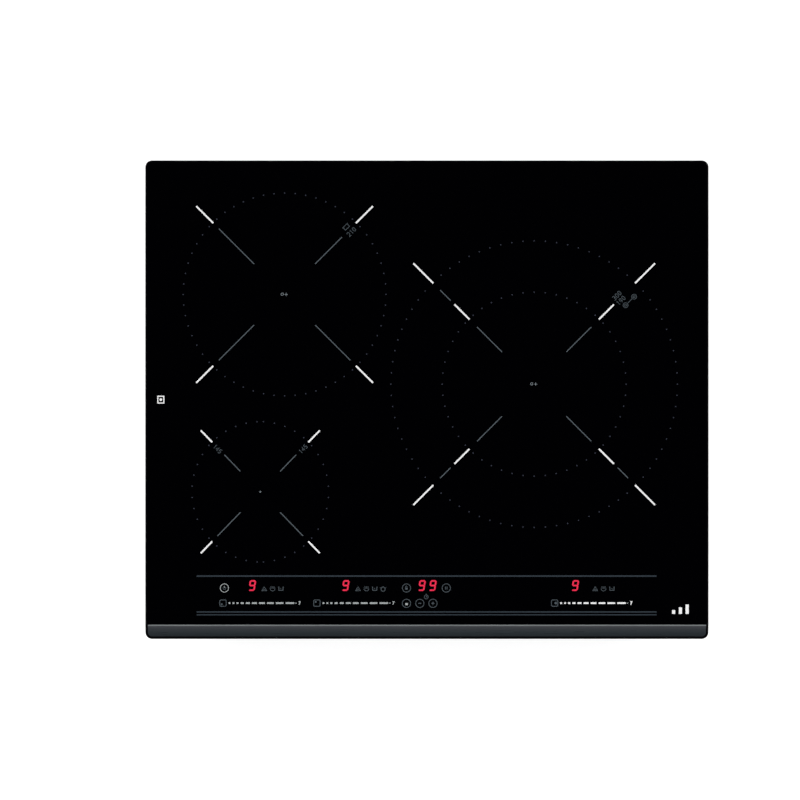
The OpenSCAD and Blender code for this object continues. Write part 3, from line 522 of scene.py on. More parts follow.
class Builder:
    """Collects closed shapes, in millimetres, into one mesh."""

    def __init__(self):
        self.points, self.faces, self.slots = [], [], []

    def add(self, points, faces, slot=0):
        start = len(self.points)
        self.points += points
        self.faces += [[start + i for i in face] for face in faces]
        self.slots += [slot] * len(faces)

    def prism(self, outline, low, high, slot=0):
        """An outline, anticlockwise from above, pulled up from low to high."""
        n = len(outline)
        points = [(x, y, low) for x, y in outline] + [(x, y, high) for x, y in outline]
        sides = [[i, (i + 1) % n, n + (i + 1) % n, n + i] for i in range(n)]
        self.add(points, [list(range(n - 1, -1, -1)), list(range(n, 2 * n))] + sides, slot)

    def frame(self, outer, inner, low, high, slot=0):
        """The band between two outlines of equal length."""
        n = len(outer)
        rings = [(outer, low), (inner, low), (inner, high), (outer, high)]
        points = [(x, y, z) for ring, z in rings for x, y in ring]
        faces = []
        for i in range(n):
            j = (i + 1) % n
            for a in range(4):
                b = (a + 1) % 4
                faces.append([a * n + j, a * n + i, b * n + i, b * n + j])
        self.add(points, faces, slot)

    def object(self, name, materials, body=BODY, slot=None, smooth=None):
        mesh = bpy.data.meshes.new(name)
        mesh.from_pydata([Vector(p) * MM for p in self.points], [], self.faces)
        for face, which in zip(mesh.polygons, self.slots):
            face.material_index = which
        for material in materials:
            mesh.materials.append(material)
        if smooth is not None:
            mesh.shade_smooth()
            mesh.set_sharp_from_angle(angle=math.radians(smooth))
        mesh.update()
        made = bpy.data.objects.new(name, mesh)
        bpy.context.scene.collection.objects.link(made)
        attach(made, body)
        return made


WELD = 1e-6


def solid_middles(node):
    """Middle of each separate solid of a CAD node, in millimetres, from left to right."""
    work = bmesh.new()
    work.from_mesh(frame["nodes"][node].data)
    bmesh.ops.remove_doubles(work, verts=work.verts, dist=WELD)
    seen, middles = set(), []
    for vertex in work.verts:
        if vertex.index in seen:
            continue
        found, queue = [], [vertex]
        seen.add(vertex.index)
        while queue:
            here = queue.pop()
            found.append(here.co)
            for edge in here.link_edges:
                other = edge.other_vert(here)
                if other.index not in seen:
                    seen.add(other.index)
                    queue.append(other)
        low = [min(c[i] for c in found) for i in range(3)]
        high = [max(c[i] for c in found) for i in range(3)]
        middles.append([(a + b) / 2 / MM for a, b in zip(low, high)])
    work.free()
    return sorted(middles)


def circle_points(x, y, radius, sides):
    return [(x + radius * math.cos(TAU * i / sides), y + radius * math.sin(TAU * i / sides))
            for i in range(sides)]


# ---- glass

GLASS_CORNER = 7
# The upper edge runs in by EDGE_ROUND while it rises by EDGE_FALL; the lower edge is a plain rounding.
EDGE_ROUND, EDGE_FALL, UNDER_ROUND = 2.8, 0.9, 0.6
FACET_WIDTH, FACET_DROP, ARRIS_WIDTH = 14.9, 2.2, 1.2
CORNER_STEPS, EDGE_STEPS, ARRIS_STEPS, FACET_STEPS = 14, 4, 6, 5
SIDE_PLACES = (-150, 0, 150)
TOP, FACET, ARRIS, EDGE = range(4)
GLASS_SOFT = 25
FACET_TOP = GLASS_LOW[1] + FACET_WIDTH


def top_of_glass(y):
    """Height of the glass's upper side at a Y: flat, a soft arris, then the facet."""
    slope = FACET_DROP / FACET_WIDTH
    below = FACET_TOP - y
    if below <= -ARRIS_WIDTH / 2:
        return GLASS_TOP
    if below < ARRIS_WIDTH / 2:
        return GLASS_TOP - slope * (below + ARRIS_WIDTH / 2) ** 2 / (2 * ARRIS_WIDTH)
    return GLASS_TOP - slope * below


def glass_stations():
    """Places along the right side of the outline, front to back: a corner angle or a Y."""
    quarter = math.pi / 2
    front = [("front", -quarter + quarter * i / CORNER_STEPS) for i in range(CORNER_STEPS + 1)]
    arris = [("side", FACET_TOP + ARRIS_WIDTH * (i / ARRIS_STEPS - 0.5)) for i in range(ARRIS_STEPS + 1)]
    facet = [("side", GLASS_LOW[1] + GLASS_CORNER + i) for i in range(1, FACET_STEPS + 1)]
    middle = [("side", y) for y in SIDE_PLACES]
    back = [("back", quarter * i / CORNER_STEPS) for i in range(CORNER_STEPS + 1)]
    return front + facet + arris + middle + back


def outline_point(station, inset):
    """A point on the right half of the glass outline, moved in by inset."""
    where, value = station
    right = GLASS_HIGH[0]
    if where == "side":
        return right - inset, value
    y = GLASS_LOW[1] + GLASS_CORNER if where == "front" else GLASS_HIGH[1] - GLASS_CORNER
    reach = GLASS_CORNER - inset
    return right - GLASS_CORNER + reach * math.cos(value), y + reach * math.sin(value)


def make_glass(materials):
    """The plate: rings of points from the underside, round the edge and up, then strips across the top."""
    stations = glass_stations()
    rings = [(UNDER_ROUND, lambda y: GLASS_LOW[2])]
    for i in range(1, EDGE_STEPS + 1):
        a = math.pi / 2 * i / EDGE_STEPS
        rings.append((UNDER_ROUND * (1 - math.sin(a)),
                      lambda y, a=a: GLASS_LOW[2] + UNDER_ROUND * (1 - math.cos(a))))
    for i in range(EDGE_STEPS + 1):
        a = math.pi / 2 * i / EDGE_STEPS
        rings.append((EDGE_ROUND * (1 - math.cos(a)),
                      lambda y, a=a: top_of_glass(y) - EDGE_FALL * (1 - math.sin(a))))
    made = Builder()
    n = 2 * len(stations)
    for inset, height in rings:
        right = [outline_point(s, inset) for s in stations]
        made.points += [(x, y, height(y)) for x, y in right + [(-x, y) for x, y in reversed(right)]]
    for r in range(len(rings) - 1):
        for i in range(n):
            j = (i + 1) % n
            made.faces.append([r * n + i, r * n + j, (r + 1) * n + j, (r + 1) * n + i])
            made.slots.append(EDGE)
    last = (len(rings) - 1) * n
    strips = range(len(stations) - 1)
    for i in strips:
        y = sum(outline_point(stations[k], EDGE_ROUND)[1] for k in (i, i + 1)) / 2
        made.faces.append([last + i, last + i + 1, last + n - 2 - i, last + n - 1 - i])
        on_arris = abs(y - FACET_TOP) < ARRIS_WIDTH / 2
        made.slots.append(FACET if y < FACET_TOP - ARRIS_WIDTH / 2 else ARRIS if on_arris else TOP)
    made.faces += [[i + 1, i, n - 1 - i, n - 2 - i] for i in strips]
    made.slots += [TOP] * len(strips)
    glass = made.object("glass_plate", materials, slot="ceramic_glass", smooth=GLASS_SOFT)
    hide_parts("glass_top")


# ---- windings

# Play round the wire, how far turns may press together, rings to a turn, sides of the wire.
WIRE_GAP, TURN_PRESS = 0.05, 0.1
RING_COUNT, WIRE_SIDES = 48, 10
# Springs: radius at the foot, its loss towards the top, turns, flat turns at each end.
SPRING_RADIUS, SPRING_TAPER, SPRING_WIRE = 5.9, 1.4, 0.9
SPRING_TURNS, SPRING_END, SPRING_RINGS = 3.5, 0.6, 20
WIRE_SOFT = 50
# Each winding's zone, and the radius where its wire starts.
WINDINGS = {"rear_left": ("rear_left", 26), "front_left": ("front_left", 20),
            "right_inner": ("right", 26), "right_outer": ("right", 99)}


def coil_wire(made, x, y, places, wide, tall):
    """A wire along a coil, through places with an angle, a radius and a height. Gives its UVs."""
    points, along, faces, uvs = [], [], [], []
    run, last = 0.0, places[0][0]
    for angle, radius, level in places:
        run += radius * (angle - last)
        last = angle
        along.append(run)
        for k in range(WIRE_SIDES):
            a = TAU * k / WIRE_SIDES
            r = radius + wide * math.cos(a)
            points.append((x + r * math.cos(angle), y + r * math.sin(angle),
                           level + tall * math.sin(a)))
    for i in range(len(places) - 1):
        for k in range(WIRE_SIDES):
            corners = ((i, k), (i + 1, k), (i + 1, k + 1), (i, k + 1))
            faces.append([ring * WIRE_SIDES + side % WIRE_SIDES for ring, side in corners])
            uvs += [(along[ring], side / WIRE_SIDES) for ring, side in corners]
    faces.append(list(range(WIRE_SIDES)))
    faces.append([len(points) - 1 - k for k in range(WIRE_SIDES)])
    made.add(points, faces)
    return uvs


def wind(name, material):
    """One winding as the spiral that it really is, from its eye outwards."""
    node = "winding_" + name
    zone, eye = WINDINGS[name]
    x, y, _ = MOUNTS["zone_" + zone]
    low, high = box_mm(node)
    thick = high[2] - low[2]
    level = (low[2] + high[2]) / 2
    first = eye + thick / 2
    last = (high[0] - low[0] - thick) / 2
    turns = int((last - first) / (thick - TURN_PRESS)) + 0.5
    pitch = (last - first) / turns
    step = TAU / RING_COUNT
    places = [(step * i, first + pitch * i / RING_COUNT, level) for i in range(int(turns * RING_COUNT) + 1)]
    made = Builder()
    uvs = coil_wire(made, x, y, places, min(pitch, thick) / 2 - WIRE_GAP, thick / 2 - WIRE_GAP)
    piece = made.object("wound_" + name, [material], "coil_" + zone, "copper_litz", WIRE_SOFT)
    layer = piece.data.uv_layers.new(name="along_and_round")
    for loop, uv in zip(layer.data, uvs):
        loop.uv = uv
    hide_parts(node)


def make_springs(zone, material):
    """The conical springs under a coil, with flat end turns."""
    node = "coil_springs_" + zone
    low, high = box_mm(node)
    tall = high[2] - low[2]
    rings = int(SPRING_TURNS * SPRING_RINGS)
    flat = SPRING_END * SPRING_RINGS
    made = Builder()
    for x, y, _ in solid_middles(node):
        places = []
        for i in range(rings + 1):
            rise = min(max((i - flat) / (rings - 2 * flat), 0), 1)
            level = low[2] + SPRING_WIRE / 2 + rise * (tall - SPRING_WIRE)
            places.append((TAU * i / SPRING_RINGS, SPRING_RADIUS - SPRING_TAPER * i / rings, level))
        coil_wire(made, x, y, places, SPRING_WIRE / 2, SPRING_WIRE / 2)
    piece = made.object("springs_" + zone, [material], slot="spring_steel", smooth=WIRE_SOFT)
    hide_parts(node)
    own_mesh(piece)


# ---- print on the glass

INK_LOW = GLASS_TOP - 0.01
INK_HIGH = GLASS_TOP + 0.03
MITRE_LIMIT = 0.5
WHITE, GREY, DOT, MARK, PALE, BAND, CENTRE = range(7)
INKS = (("white", (0.93, 0.93, 0.93)), ("grey", (0.095, 0.115, 0.13)), ("dot", (0.038, 0.042, 0.06)),
        ("mark", (0.075, 0.092, 0.105)), ("pale", (0.40, 0.43, 0.43)), ("line", (0.03, 0.04, 0.05)),
        ("centre", (0.2, 0.23, 0.25)))
STROKE_WIDE = 1.75
STROKE_FINE = 0.95
LINE = 0.55
BOLD = 0.7
SIGN = 0.8
DOT_RADIUS = 0.7
DOT_SIDES = 12
PAN_LINE = 0.6
NUMERAL_HEIGHT = 4.6
SMALL_NUMERAL = 4.4
HALF_ROOT = math.cos(math.radians(45))


class Print(Builder):
    """Marks on the glass, drawn in a local frame that is placed and turned on the glass."""

    def at(self, x, y, turn=0.0):
        self.x, self.y, self.turn = x, y, math.radians(turn)
        return self

    def put(self, points):
        c, s = math.cos(self.turn), math.sin(self.turn)
        return [(self.x + c * u - s * v, self.y + s * u + c * v) for u, v in points]

    def line(self, points, width=LINE, slot=MARK, closed=False):
        """A line of one width through the points, with mitred corners."""
        n = len(points)
        left, right = [], []
        for i, (u, v) in enumerate(points):
            before = points[(i - 1) % n] if closed or i else points[i]
            after = points[(i + 1) % n] if closed or i < n - 1 else points[i]
            ways = []
            for a, b in ((before, (u, v)), ((u, v), after)):
                length = math.dist(a, b)
                if length > 0:
                    ways.append(((b[0] - a[0]) / length, (b[1] - a[1]) / length))
            mean = (sum(w[0] for w in ways), sum(w[1] for w in ways))
            length = math.hypot(*mean) or 1
            mean = (mean[0] / length, mean[1] / length)
            cut = max(mean[0] * ways[0][0] + mean[1] * ways[0][1], MITRE_LIMIT)
            half = width / 2 / cut
            left.append((u - mean[1] * half, v + mean[0] * half))
            right.append((u + mean[1] * half, v - mean[0] * half))
        left, right = self.put(left), self.put(right)
        if closed:
            inner, outer = (left, right) if area(left) < area(right) else (right, left)
            if area(outer) < 0:
                inner, outer = inner[::-1], outer[::-1]
            self.frame(outer, inner, INK_LOW, INK_HIGH, slot)
        else:
            self.prism(right + left[::-1], INK_LOW, INK_HIGH, slot)

    def fill(self, points, slot):
        points = self.put(points)
        if area(points) < 0:
            points = points[::-1]
        self.prism(points, INK_LOW, INK_HIGH, slot)

    def disc(self, u, v, radius, slot, sides=14):
        self.fill(circle_points(u, v, radius, sides), slot)

    def ring(self, u, v, radius, width, slot, sides):
        self.line(circle_points(u, v, radius, sides), width, slot, closed=True)

    def arc(self, u, v, radius, start, end, width, slot, steps=12):
        angles = [math.radians(start + (end - start) * i / steps) for i in range(steps + 1)]
        self.line([(u + radius * math.cos(a), v + radius * math.sin(a)) for a in angles], width, slot)

    def numeral(self, text, height=NUMERAL_HEIGHT):
        """Numbers in plain single strokes, centred on the local origin."""
        step = height * NUMERAL_PITCH
        start = -step * (len(text) - 1) / 2
        for k, letter in enumerate(text):
            for stroke in NUMERALS[letter]:
                self.line([(start + k * step + (u - 0.5) * height * NUMERAL_WIDTH, (v - 0.5) * height)
                           for u, v in stroke])


def area(points):
    """Signed area of an outline: positive if it runs anticlockwise."""
    return sum(a[0] * b[1] - b[0] * a[1] for a, b in zip(points, points[1:] + points[:1])) / 2


def rounded_loop(cx, cy, rx, ry, steps=10):
    """An oval that ends where it starts."""
    angles = [TAU * i / steps for i in range(steps + 1)]
    return [(cx + rx * math.cos(a), cy + ry * math.sin(a)) for a in angles]


# Strokes of the numerals in a unit square, and their pitch and width for a height of one.
NUMERAL_PITCH = 0.82
NUMERAL_WIDTH = 0.55
NUMERALS = {
    "0": [rounded_loop(0.5, 0.5, 0.5, 0.5)],
    "1": [[(0.2, 0.78), (0.55, 1.0), (0.55, 0.0)]],
    "2": [[(0.0, 0.78), (0.2, 0.98), (0.75, 0.98), (1.0, 0.75), (0.9, 0.5), (0.0, 0.0), (1.0, 0.0)]],
    "3": [[(0.05, 0.9), (0.4, 1.0), (0.9, 0.85), (0.9, 0.62), (0.45, 0.52), (0.95, 0.4), (0.95, 0.15),
           (0.4, 0.0), (0.0, 0.12)]],
    "4": [[(0.75, 0.0), (0.75, 1.0), (0.0, 0.32), (1.0, 0.32)]],
    "5": [[(0.95, 1.0), (0.15, 1.0), (0.08, 0.55), (0.6, 0.62), (1.0, 0.42), (0.9, 0.1), (0.4, 0.0),
           (0.0, 0.1)]],
    "9": [rounded_loop(0.5, 0.7, 0.45, 0.3), [(0.95, 0.66), (0.85, 0.3), (0.3, 0.0)]],
}

DIAGONALS = (45, 135, 225, 315)
ZONES = {
    # Shift from the coil's middle, and degrees by which the strokes are steeper than their diagonal.
    # Rings: radius across, radius along, dots. Strokes: from and to radius, the fine ones by diagonal.
    "rear_left": {
        "shift": (-0.3, 0.2), "lean": 0,
        "rings": [(108, 108, 60)],
        "fine": {45: [(46, 86.5)], 135: [(46, 99)], 225: [(46, 99)], 315: [(46, 99)]},
        "wide": [(107.5, 133)],
    },
    "front_left": {
        "shift": (-0.3, 0.8), "lean": 0.9,
        "rings": [(72.8, 74.7, 40)],
        "fine": {45: [(30.5, 55)], 135: [(30.5, 55)], 225: [(30.5, 65.5)], 315: [(30.5, 65.5)]},
        "wide": [(73.5, 91)],
    },
    "right": {
        "shift": (-0.2, 0.2), "lean": 0,
        "rings": [(152.6, 152.6, 80), (98, 98, 52)],
        "fine": {45: [(48.5, 86)], 135: [(48.5, 86), (126, 141.5)], 225: [(48.5, 86), (126, 141.5)],
                 315: [(48.5, 86), (126, 141.5)]},
        "wide": [(97.5, 120), (152, 182)],
    },
}


HALF_REACH = 87.3
CLEAR_FROM = 80


def dot_angles(zone, count):
    """Angles of a ring's dots: in two halves in the small zone, clear of the diagonals on a big ring."""
    if zone == "front_left":
        half = count // 2
        side = [-HALF_REACH + 2 * HALF_REACH * i / (half - 1) for i in range(half)]
        return side + [180 + a for a in side]
    angles = [360 * i / count for i in range(count)]
    return [a for a in angles if count < CLEAR_FROM or a not in DIAGONALS]


def print_zone(name, inks):
    plan = ZONES[name]
    x, y, _ = MOUNTS["zone_" + name]
    x, y = x + plan["shift"][0], y + plan["shift"][1]
    made = Print()
    for across, along, count in plan["rings"]:
        for a in dot_angles(name, count):
            angle = math.radians(a)
            made.at(x + across * math.cos(angle), y + along * math.sin(angle))
            made.disc(0, 0, DOT_RADIUS, DOT, DOT_SIDES)
    for diagonal in DIAGONALS:
        made.at(x, y, diagonal + plan["lean"] * (1 if diagonal % 180 == 45 else -1))
        for start, end in plan["fine"][diagonal]:
            made.line([(start, 0), (end, 0)], STROKE_FINE, GREY)
        for start, end in plan["wide"]:
            made.line([(start, 0), (end, 0)], STROKE_WIDE, WHITE)
    print_labels(name, made, x, y)
    made.object("print_" + name, inks, slot="ceramic_glass")


def pot_outline(made):
    """A pan from the side with its handles, as on a cooking zone."""
    made.line([(-3, 1.8), (-3, -2.1), (3, -2.1), (3, 1.8)], PAN_LINE)
    made.line([(-3.9, 1.8), (3.9, 1.8)], PAN_LINE)


def print_labels(name, made, x, y):
    """Pan sizes beside the upper strokes, and a small cross in the middle of the zone."""

    def beside(along, across):
        made.at(x + HALF_ROOT * (along - across), y + HALF_ROOT * (along + across), 45)

    if name == "rear_left":
        beside(97.3, 4.6)
        pot_outline(made)
        beside(97.5, -3.2)
        made.numeral("210")
    if name == "right":
        beside(129, 4.4)
        made.numeral("300")
        beside(128.3, -2.3)
        made.numeral("190")
        beside(134.7, -9.4)
        for k in (-1, 1):
            made.ring(k * 6.4, 0, 2.6, LINE, MARK, 20)
            made.ring(k * 6.4, 0, 1.1, LINE, MARK, 12)
        made.line([(-3.2, 0), (3.2, 0)])
    small = name == "front_left"
    if small:
        for side in (1, -1):
            made.at(x + side * HALF_ROOT * 64.5, y + HALF_ROOT * 64.5, side * 45)
            made.numeral("145", SMALL_NUMERAL)
    size = 1.2 if small else 1.7
    made.at(x + (0 if small else 1.6), y)
    for start, end in (((-size, 0), (size, 0)), ((0, -size), (0, -LINE / 2)), ((0, LINE / 2), (0, size))):
        made.line([start, end], LINE, CENTRE)
    if not small:
        made.at(x - 2.6, y)
        made.ring(0, 0.3, 1.3, LINE, CENTRE, 16)


# ---- control strip

STRIP_LEFT, STRIP_RIGHT = -245.3, 244.5
STRIP_LINES = ((-187.7, 1.6), (-225.9, 1.4), (-228.95, 1.2))
KEY_Y, LOW_KEY_Y, ICON_Y, SLIDER_Y = -200.4, -216.75, -201.35, -216.5
KEY_RADIUS, KEY_LINE, KEY_SIDES = 4.4, 0.65, 44
SQUARE, SQUARE_CUT = 6.8, 1
SQUARE_SPOTS = {"front_left": (-1.3, -1.3, 1.0), "rear_left": (-1.3, 1.3, 1.0), "right": (1.2, 0, 1.4)}
SLIDERS = ((-217.2, "front_left"), (-117.2, "rear_left"), (136.0, "right"))
# Dashes: start of the first, gap and height, shortest length, growth with each one after GROWS_FROM.
DASHES, FIRST_DASH, DASH_GAP, DASH_HEIGHT = 10, 6.0, 2.25, 1.75
SHORT_DASH, DASH_GROWTH, GROWS_FROM = 1.9, 0.98, 1.6
FIGURE_WIDTH, FIGURE_HEIGHT = 5.3, 9.9
FIGURE_STROKE, FIGURE_SLANT, SEGMENT_GAP = 1.65, 0.16, 0.25
FIGURE_SHIFT = (-0.6, -0.3)


def print_slider(made, x, zone):
    """A square that shows which zone the slider sets, growing dashes, and a hook for full power."""
    made.at(x, SLIDER_Y)
    s, c = SQUARE / 2, SQUARE / 2 - SQUARE_CUT
    made.line([(-s, -c), (-c, -s), (c, -s), (s, -c), (s, c), (c, s), (-c, s), (-s, c)],
              BOLD, closed=True)
    u, v, radius = SQUARE_SPOTS[zone]
    made.disc(u, v, radius, MARK)
    ink = WHITE if zone == "right" else PALE
    start, half = FIRST_DASH, DASH_HEIGHT / 2
    for k in range(DASHES):
        end = start + SHORT_DASH + DASH_GROWTH * max(k - GROWS_FROM, 0)
        made.fill([(start, -half), (end, -half), (end, half), (start, half)], ink)
        start = end + DASH_GAP
    made.disc(start - 0.3, 0, 0.6, PALE)
    made.line([(start + 2.4, 1.5), (start + 4.1, 1.5), (start + 2.9, -1.7)], 0.9, ink)


def icon_warm(made):
    made.line([(-2.6, -1.9), (2.6, -1.9), (0, 2.2)], closed=True)
    made.line([(-1.1, -0.7), (1.1, -0.7)])


def icon_melt(made):
    made.arc(0, 0.4, 2.6, 190, 350, LINE, MARK)
    made.line([(-2.9, 0.9), (2.9, 0.9)])
    for u in (-1.5, 0, 1.5):
        made.line([(u, 1.7), (u * 1.2, 2.7)])


def icon_boil(made):
    made.line([(-3.0, 1.9), (-2.2, 1.9), (-2.2, -1.5), (2.2, -1.5), (2.2, 1.9), (3.0, 1.9)], BOLD)
    made.disc(0, 0.4, 0.5, MARK, 10)


def icon_grill(made):
    made.ring(0, -0.3, 2.2, BOLD, MARK, 20)
    for side in (-1, 1):
        made.line([(side * 2.4, 0.8), (side * 3.2, 1.4)])
    made.line([(-0.7, 2.3), (0.7, 2.3)], BOLD)


def icon_power(made):
    made.arc(0, 0, 1.5, 120, 420, 0.5, MARK)
    made.line([(0, 0.3), (0, 1.9)], 0.6, PALE)


def icon_lock(made):
    made.fill([(-1.3, -1.7), (1.3, -1.7), (1.3, 0.3), (-1.3, 0.3)], MARK)
    made.line([(-0.9, 0.3), (-0.9, 1.5), (0, 2.1), (0.9, 1.5)])


def icon_pause(made):
    for u in (-0.8, 0.8):
        made.line([(u, -1.5), (u, 1.5)], BOLD)


def icon_select(made):
    made.fill([(-1.2, -1.9), (1.4, -1.9), (1.4, 0.3), (-1.2, 0.3)], PALE)


def icon_minus(made):
    made.line([(-1.5, 0), (1.5, 0)], SIGN)


def icon_plus(made):
    icon_minus(made)
    made.line([(0, 0.4), (0, 1.6)], SIGN)
    made.line([(0, -1.6), (0, -0.4)], SIGN)


def icon_clock(made):
    made.ring(0, 0, 2.1, LINE, MARK, 18)
    made.line([(0, 1.3), (0, 0), (1.0, 0)])
    made.line([(-0.8, 3.0), (0.8, 3.0)])


KEYS = (
    (-215.7, KEY_Y, icon_power, PALE),
    (-21.8, KEY_Y, icon_lock, MARK),
    (20.6, KEY_Y, icon_pause, MARK),
    (-21.8, LOW_KEY_Y, icon_select, MARK),
    (-7.6, LOW_KEY_Y, icon_minus, MARK),
    (6.4, LOW_KEY_Y, icon_plus, MARK),
)
ICON_ROWS = (
    (-173.3, (icon_warm, icon_melt, icon_boil)),
    (-73.4, (icon_warm, icon_melt, icon_boil, icon_grill)),
    (179.2, (icon_warm, icon_melt, icon_boil)),
)
ICON_PITCH = 8.9
CLOCK_PLACE = (-0.7, -210.0)
BAR_PLACE = (261, -223)
BAR_PITCH = 7.2
BAR_WIDTH = 3.4
FRAME_PLACE = (-283.4, 0.2)


def print_controls(inks):
    made = Print()
    for y, width in STRIP_LINES:
        made.at(0, y)
        made.line([(STRIP_LEFT, 0), (STRIP_RIGHT, 0)], width, BAND)
    for x, y, icon, ink in KEYS:
        made.at(x, y)
        made.ring(0, 0, KEY_RADIUS, KEY_LINE, ink, KEY_SIDES)
        icon(made)
    for start, icons in ICON_ROWS:
        for k, icon in enumerate(icons):
            icon(made.at(start + k * ICON_PITCH, ICON_Y))
    icon_clock(made.at(*CLOCK_PLACE))
    for x, zone in SLIDERS:
        print_slider(made, x, zone)
    made.object("print_controls", inks, slot="ceramic_glass")


def print_marks(inks):
    """Two plain marks: three bars at the front right, and a framed dot at the left edge."""
    made = Print()
    for k in range(3):
        made.at(BAR_PLACE[0] + BAR_PITCH * k, BAR_PLACE[1])
        made.fill([(0, -5), (BAR_WIDTH, -5), (BAR_WIDTH, -1 + 3 * k), (0, -1 + 3 * k)], WHITE)
    made.at(*FRAME_PLACE)
    made.line([(-3.2, -3.6), (3.2, -3.6), (3.2, 3.6), (-3.2, 3.6)], 1.1, WHITE, closed=True)
    made.disc(0, 0, 1.5, WHITE)
    made.object("print_marks", inks, slot="ceramic_glass")


def figure_nine(made, x, y):
    """The lit segments of a slanted 9: all but the lower left one."""
    w, h = FIGURE_WIDTH / 2, FIGURE_HEIGHT / 2

    def segment(a, b):
        way = Vector((b[0] - a[0], b[1] - a[1])).normalized()
        side = Vector((-way.y, way.x)) * FIGURE_STROKE / 2
        a, b = Vector(a) + way * SEGMENT_GAP, Vector(b) - way * SEGMENT_GAP
        tip = way * FIGURE_STROKE * 0.3
        half = [a - tip * 0.4, a + side * 0.55 - tip * 0.2, a + side + tip, b + side - tip,
                b + side * 0.55 + tip * 0.2]
        other = [b + tip * 0.4, b - side * 0.55 + tip * 0.2, b - side - tip, a - side + tip,
                 a - side * 0.55 - tip * 0.2]
        made.fill([(p.x + FIGURE_SLANT * p.y, p.y) for p in half + other], 0)

    made.at(x, y)
    for level in (h, 0, -h):
        segment((-w, level), (w, level))
    segment((-w, 0), (-w, h))
    segment((w, 0), (w, h))
    segment((w, -h), (w, 0))


def print_figures(material):
    made = Print()
    for x, y, _ in solid_middles("display_modules"):
        figure_nine(made, x + FIGURE_SHIFT[0], y + FIGURE_SHIFT[1])
    made.object("lit_figures", [material], slot="display_red")


# ---- labels under the hob

LABEL_T, INK_T = 0.12, 0.02
# The data plate, its table and its bars, measured from its middle.
PLATE_PLACE, PLATE_SIZE = (118, 120), (110, 62)
PLATE_CORNER, PLATE_STEPS = 3, 6
RULE, TOP_RULE = 0.5, 26
ROWS, ROW_PITCH = 4, 8.5
COLUMNS, COLUMN_INDENT = (-51, -14, 18, 51), 4
FIELD_DROP, FIELD_HEIGHT = 4.3, 1.5
CODE_LEFT, CODE_Y, CODE_HEIGHT = -48, -19, 13
CODE_BARS, CODE_LINE, CODE_GAP = 34, 0.5, 0.35
# The shock sign: shift from the flap's middle, how far its back sinks in, sizes of the two triangles.
SIGN_SHIFT, SIGN_SINK = (24, -1), 0.5
SIGN_OUTER, SIGN_INNER = 9.5, 8.0
BOLT = [(0.9, 3.2), (-2.0, -1.6), (-0.1, -1.6), (-0.9, -5.2), (2.0, -0.3), (0.1, -0.3)]


def make_data_plate(silver, black):
    """A blank data plate under the pan: a ruled table with empty fields and a bar pattern."""
    made = Builder()
    x, y = PLATE_PLACE
    w, d = PLATE_SIZE
    outline = []
    for side, end, start in ((1, 1, 0), (-1, 1, 90), (-1, -1, 180), (1, -1, 270)):
        for k in range(PLATE_STEPS + 1):
            a = math.radians(start + 90 * k / PLATE_STEPS)
            outline.append((x + side * (w / 2 - PLATE_CORNER) + PLATE_CORNER * math.cos(a),
                            y + end * (d / 2 - PLATE_CORNER) + PLATE_CORNER * math.sin(a)))
    low = FLOOR_Z - LABEL_T
    made.prism(outline, low, FLOOR_Z, 0)

    def mark(u, v, wide, deep):
        """A printed bar with its middle at u and v, under the plate."""
        left, right = x + u - wide / 2, x + u + wide / 2
        front, back = y + v - deep / 2, y + v + deep / 2
        made.prism([(left, front), (right, front), (right, back), (left, back)], low - INK_T, low, 1)

    for row in range(ROWS + 1):
        mark(0, TOP_RULE - row * ROW_PITCH, w - 2 * COLUMN_INDENT, RULE)
    for column in COLUMNS:
        mark(column, TOP_RULE - ROWS * ROW_PITCH / 2, RULE, ROWS * ROW_PITCH + RULE)
    for row in range(ROWS):
        for column, length in zip(COLUMNS, (14 + 5 * (row % 2), 20 - 4 * (row % 3), 16 + 3 * (row % 2))):
            mark(column + COLUMN_INDENT + length / 2, TOP_RULE - FIELD_DROP - row * ROW_PITCH, length,
                 FIELD_HEIGHT)
    place = CODE_LEFT
    for k in range(CODE_BARS):
        width = CODE_LINE * (1 + k * 7 % 3)
        mark(place + width / 2, CODE_Y, width, CODE_HEIGHT)
        place += width + CODE_LINE + CODE_GAP * (k * 5 % 3)
    made.object("data_plate", [silver, black], slot="aluminium")


def make_shock_sign(yellow, black):
    """A yellow triangle with a bolt of lightning on the terminal box's flap."""
    low, high = box_mm("terminal_flap")
    x, z = ((low[i] + high[i]) / 2 + shift for i, shift in zip((0, 2), SIGN_SHIFT))
    y = high[1] - SIGN_SINK
    made = Builder()

    def plate(points, thick, slot):
        n = len(points)
        front = [(x + u, y + thick, z + v) for u, v in points]
        back = [(x + u, y, z + v) for u, v in points]
        sides = [[i, n + i, n + (i + 1) % n, (i + 1) % n] for i in range(n)]
        made.add(front + back, [list(range(n - 1, -1, -1)), list(range(n, 2 * n))] + sides, slot)

    def triangle(size):
        corners = [math.radians(a) for a in (0, 240, 120)]
        return [(size * math.sin(a), size * math.cos(a) - 1.5) for a in corners]

    plate(triangle(SIGN_OUTER), LABEL_T, 1)
    plate(triangle(SIGN_INNER), LABEL_T + INK_T, 0)
    plate(BOLT, LABEL_T + 2 * INK_T, 1)
    made.object("shock_sign", [yellow, black], "terminal_flap", "grey_plastic")


# ---- assembly

PLASTICS = (("black_plastic", (0.016, 0.016, 0.017), 0.5), ("grey_plastic", (0.13, 0.135, 0.14), 0.5),
            ("ivory_plastic", (0.62, 0.58, 0.44), 0.5), ("component_case", (0.07, 0.065, 0.06), 0.5),
            ("fan_plastic", (0.011, 0.011, 0.012), 0.38))
METALS = (("zinc_screw", (0.68, 0.68, 0.66), 0.28), ("spring_steel", (0.6, 0.6, 0.62), 0.24),
          ("brass_plate", (0.78, 0.6, 0.28), 0.28))


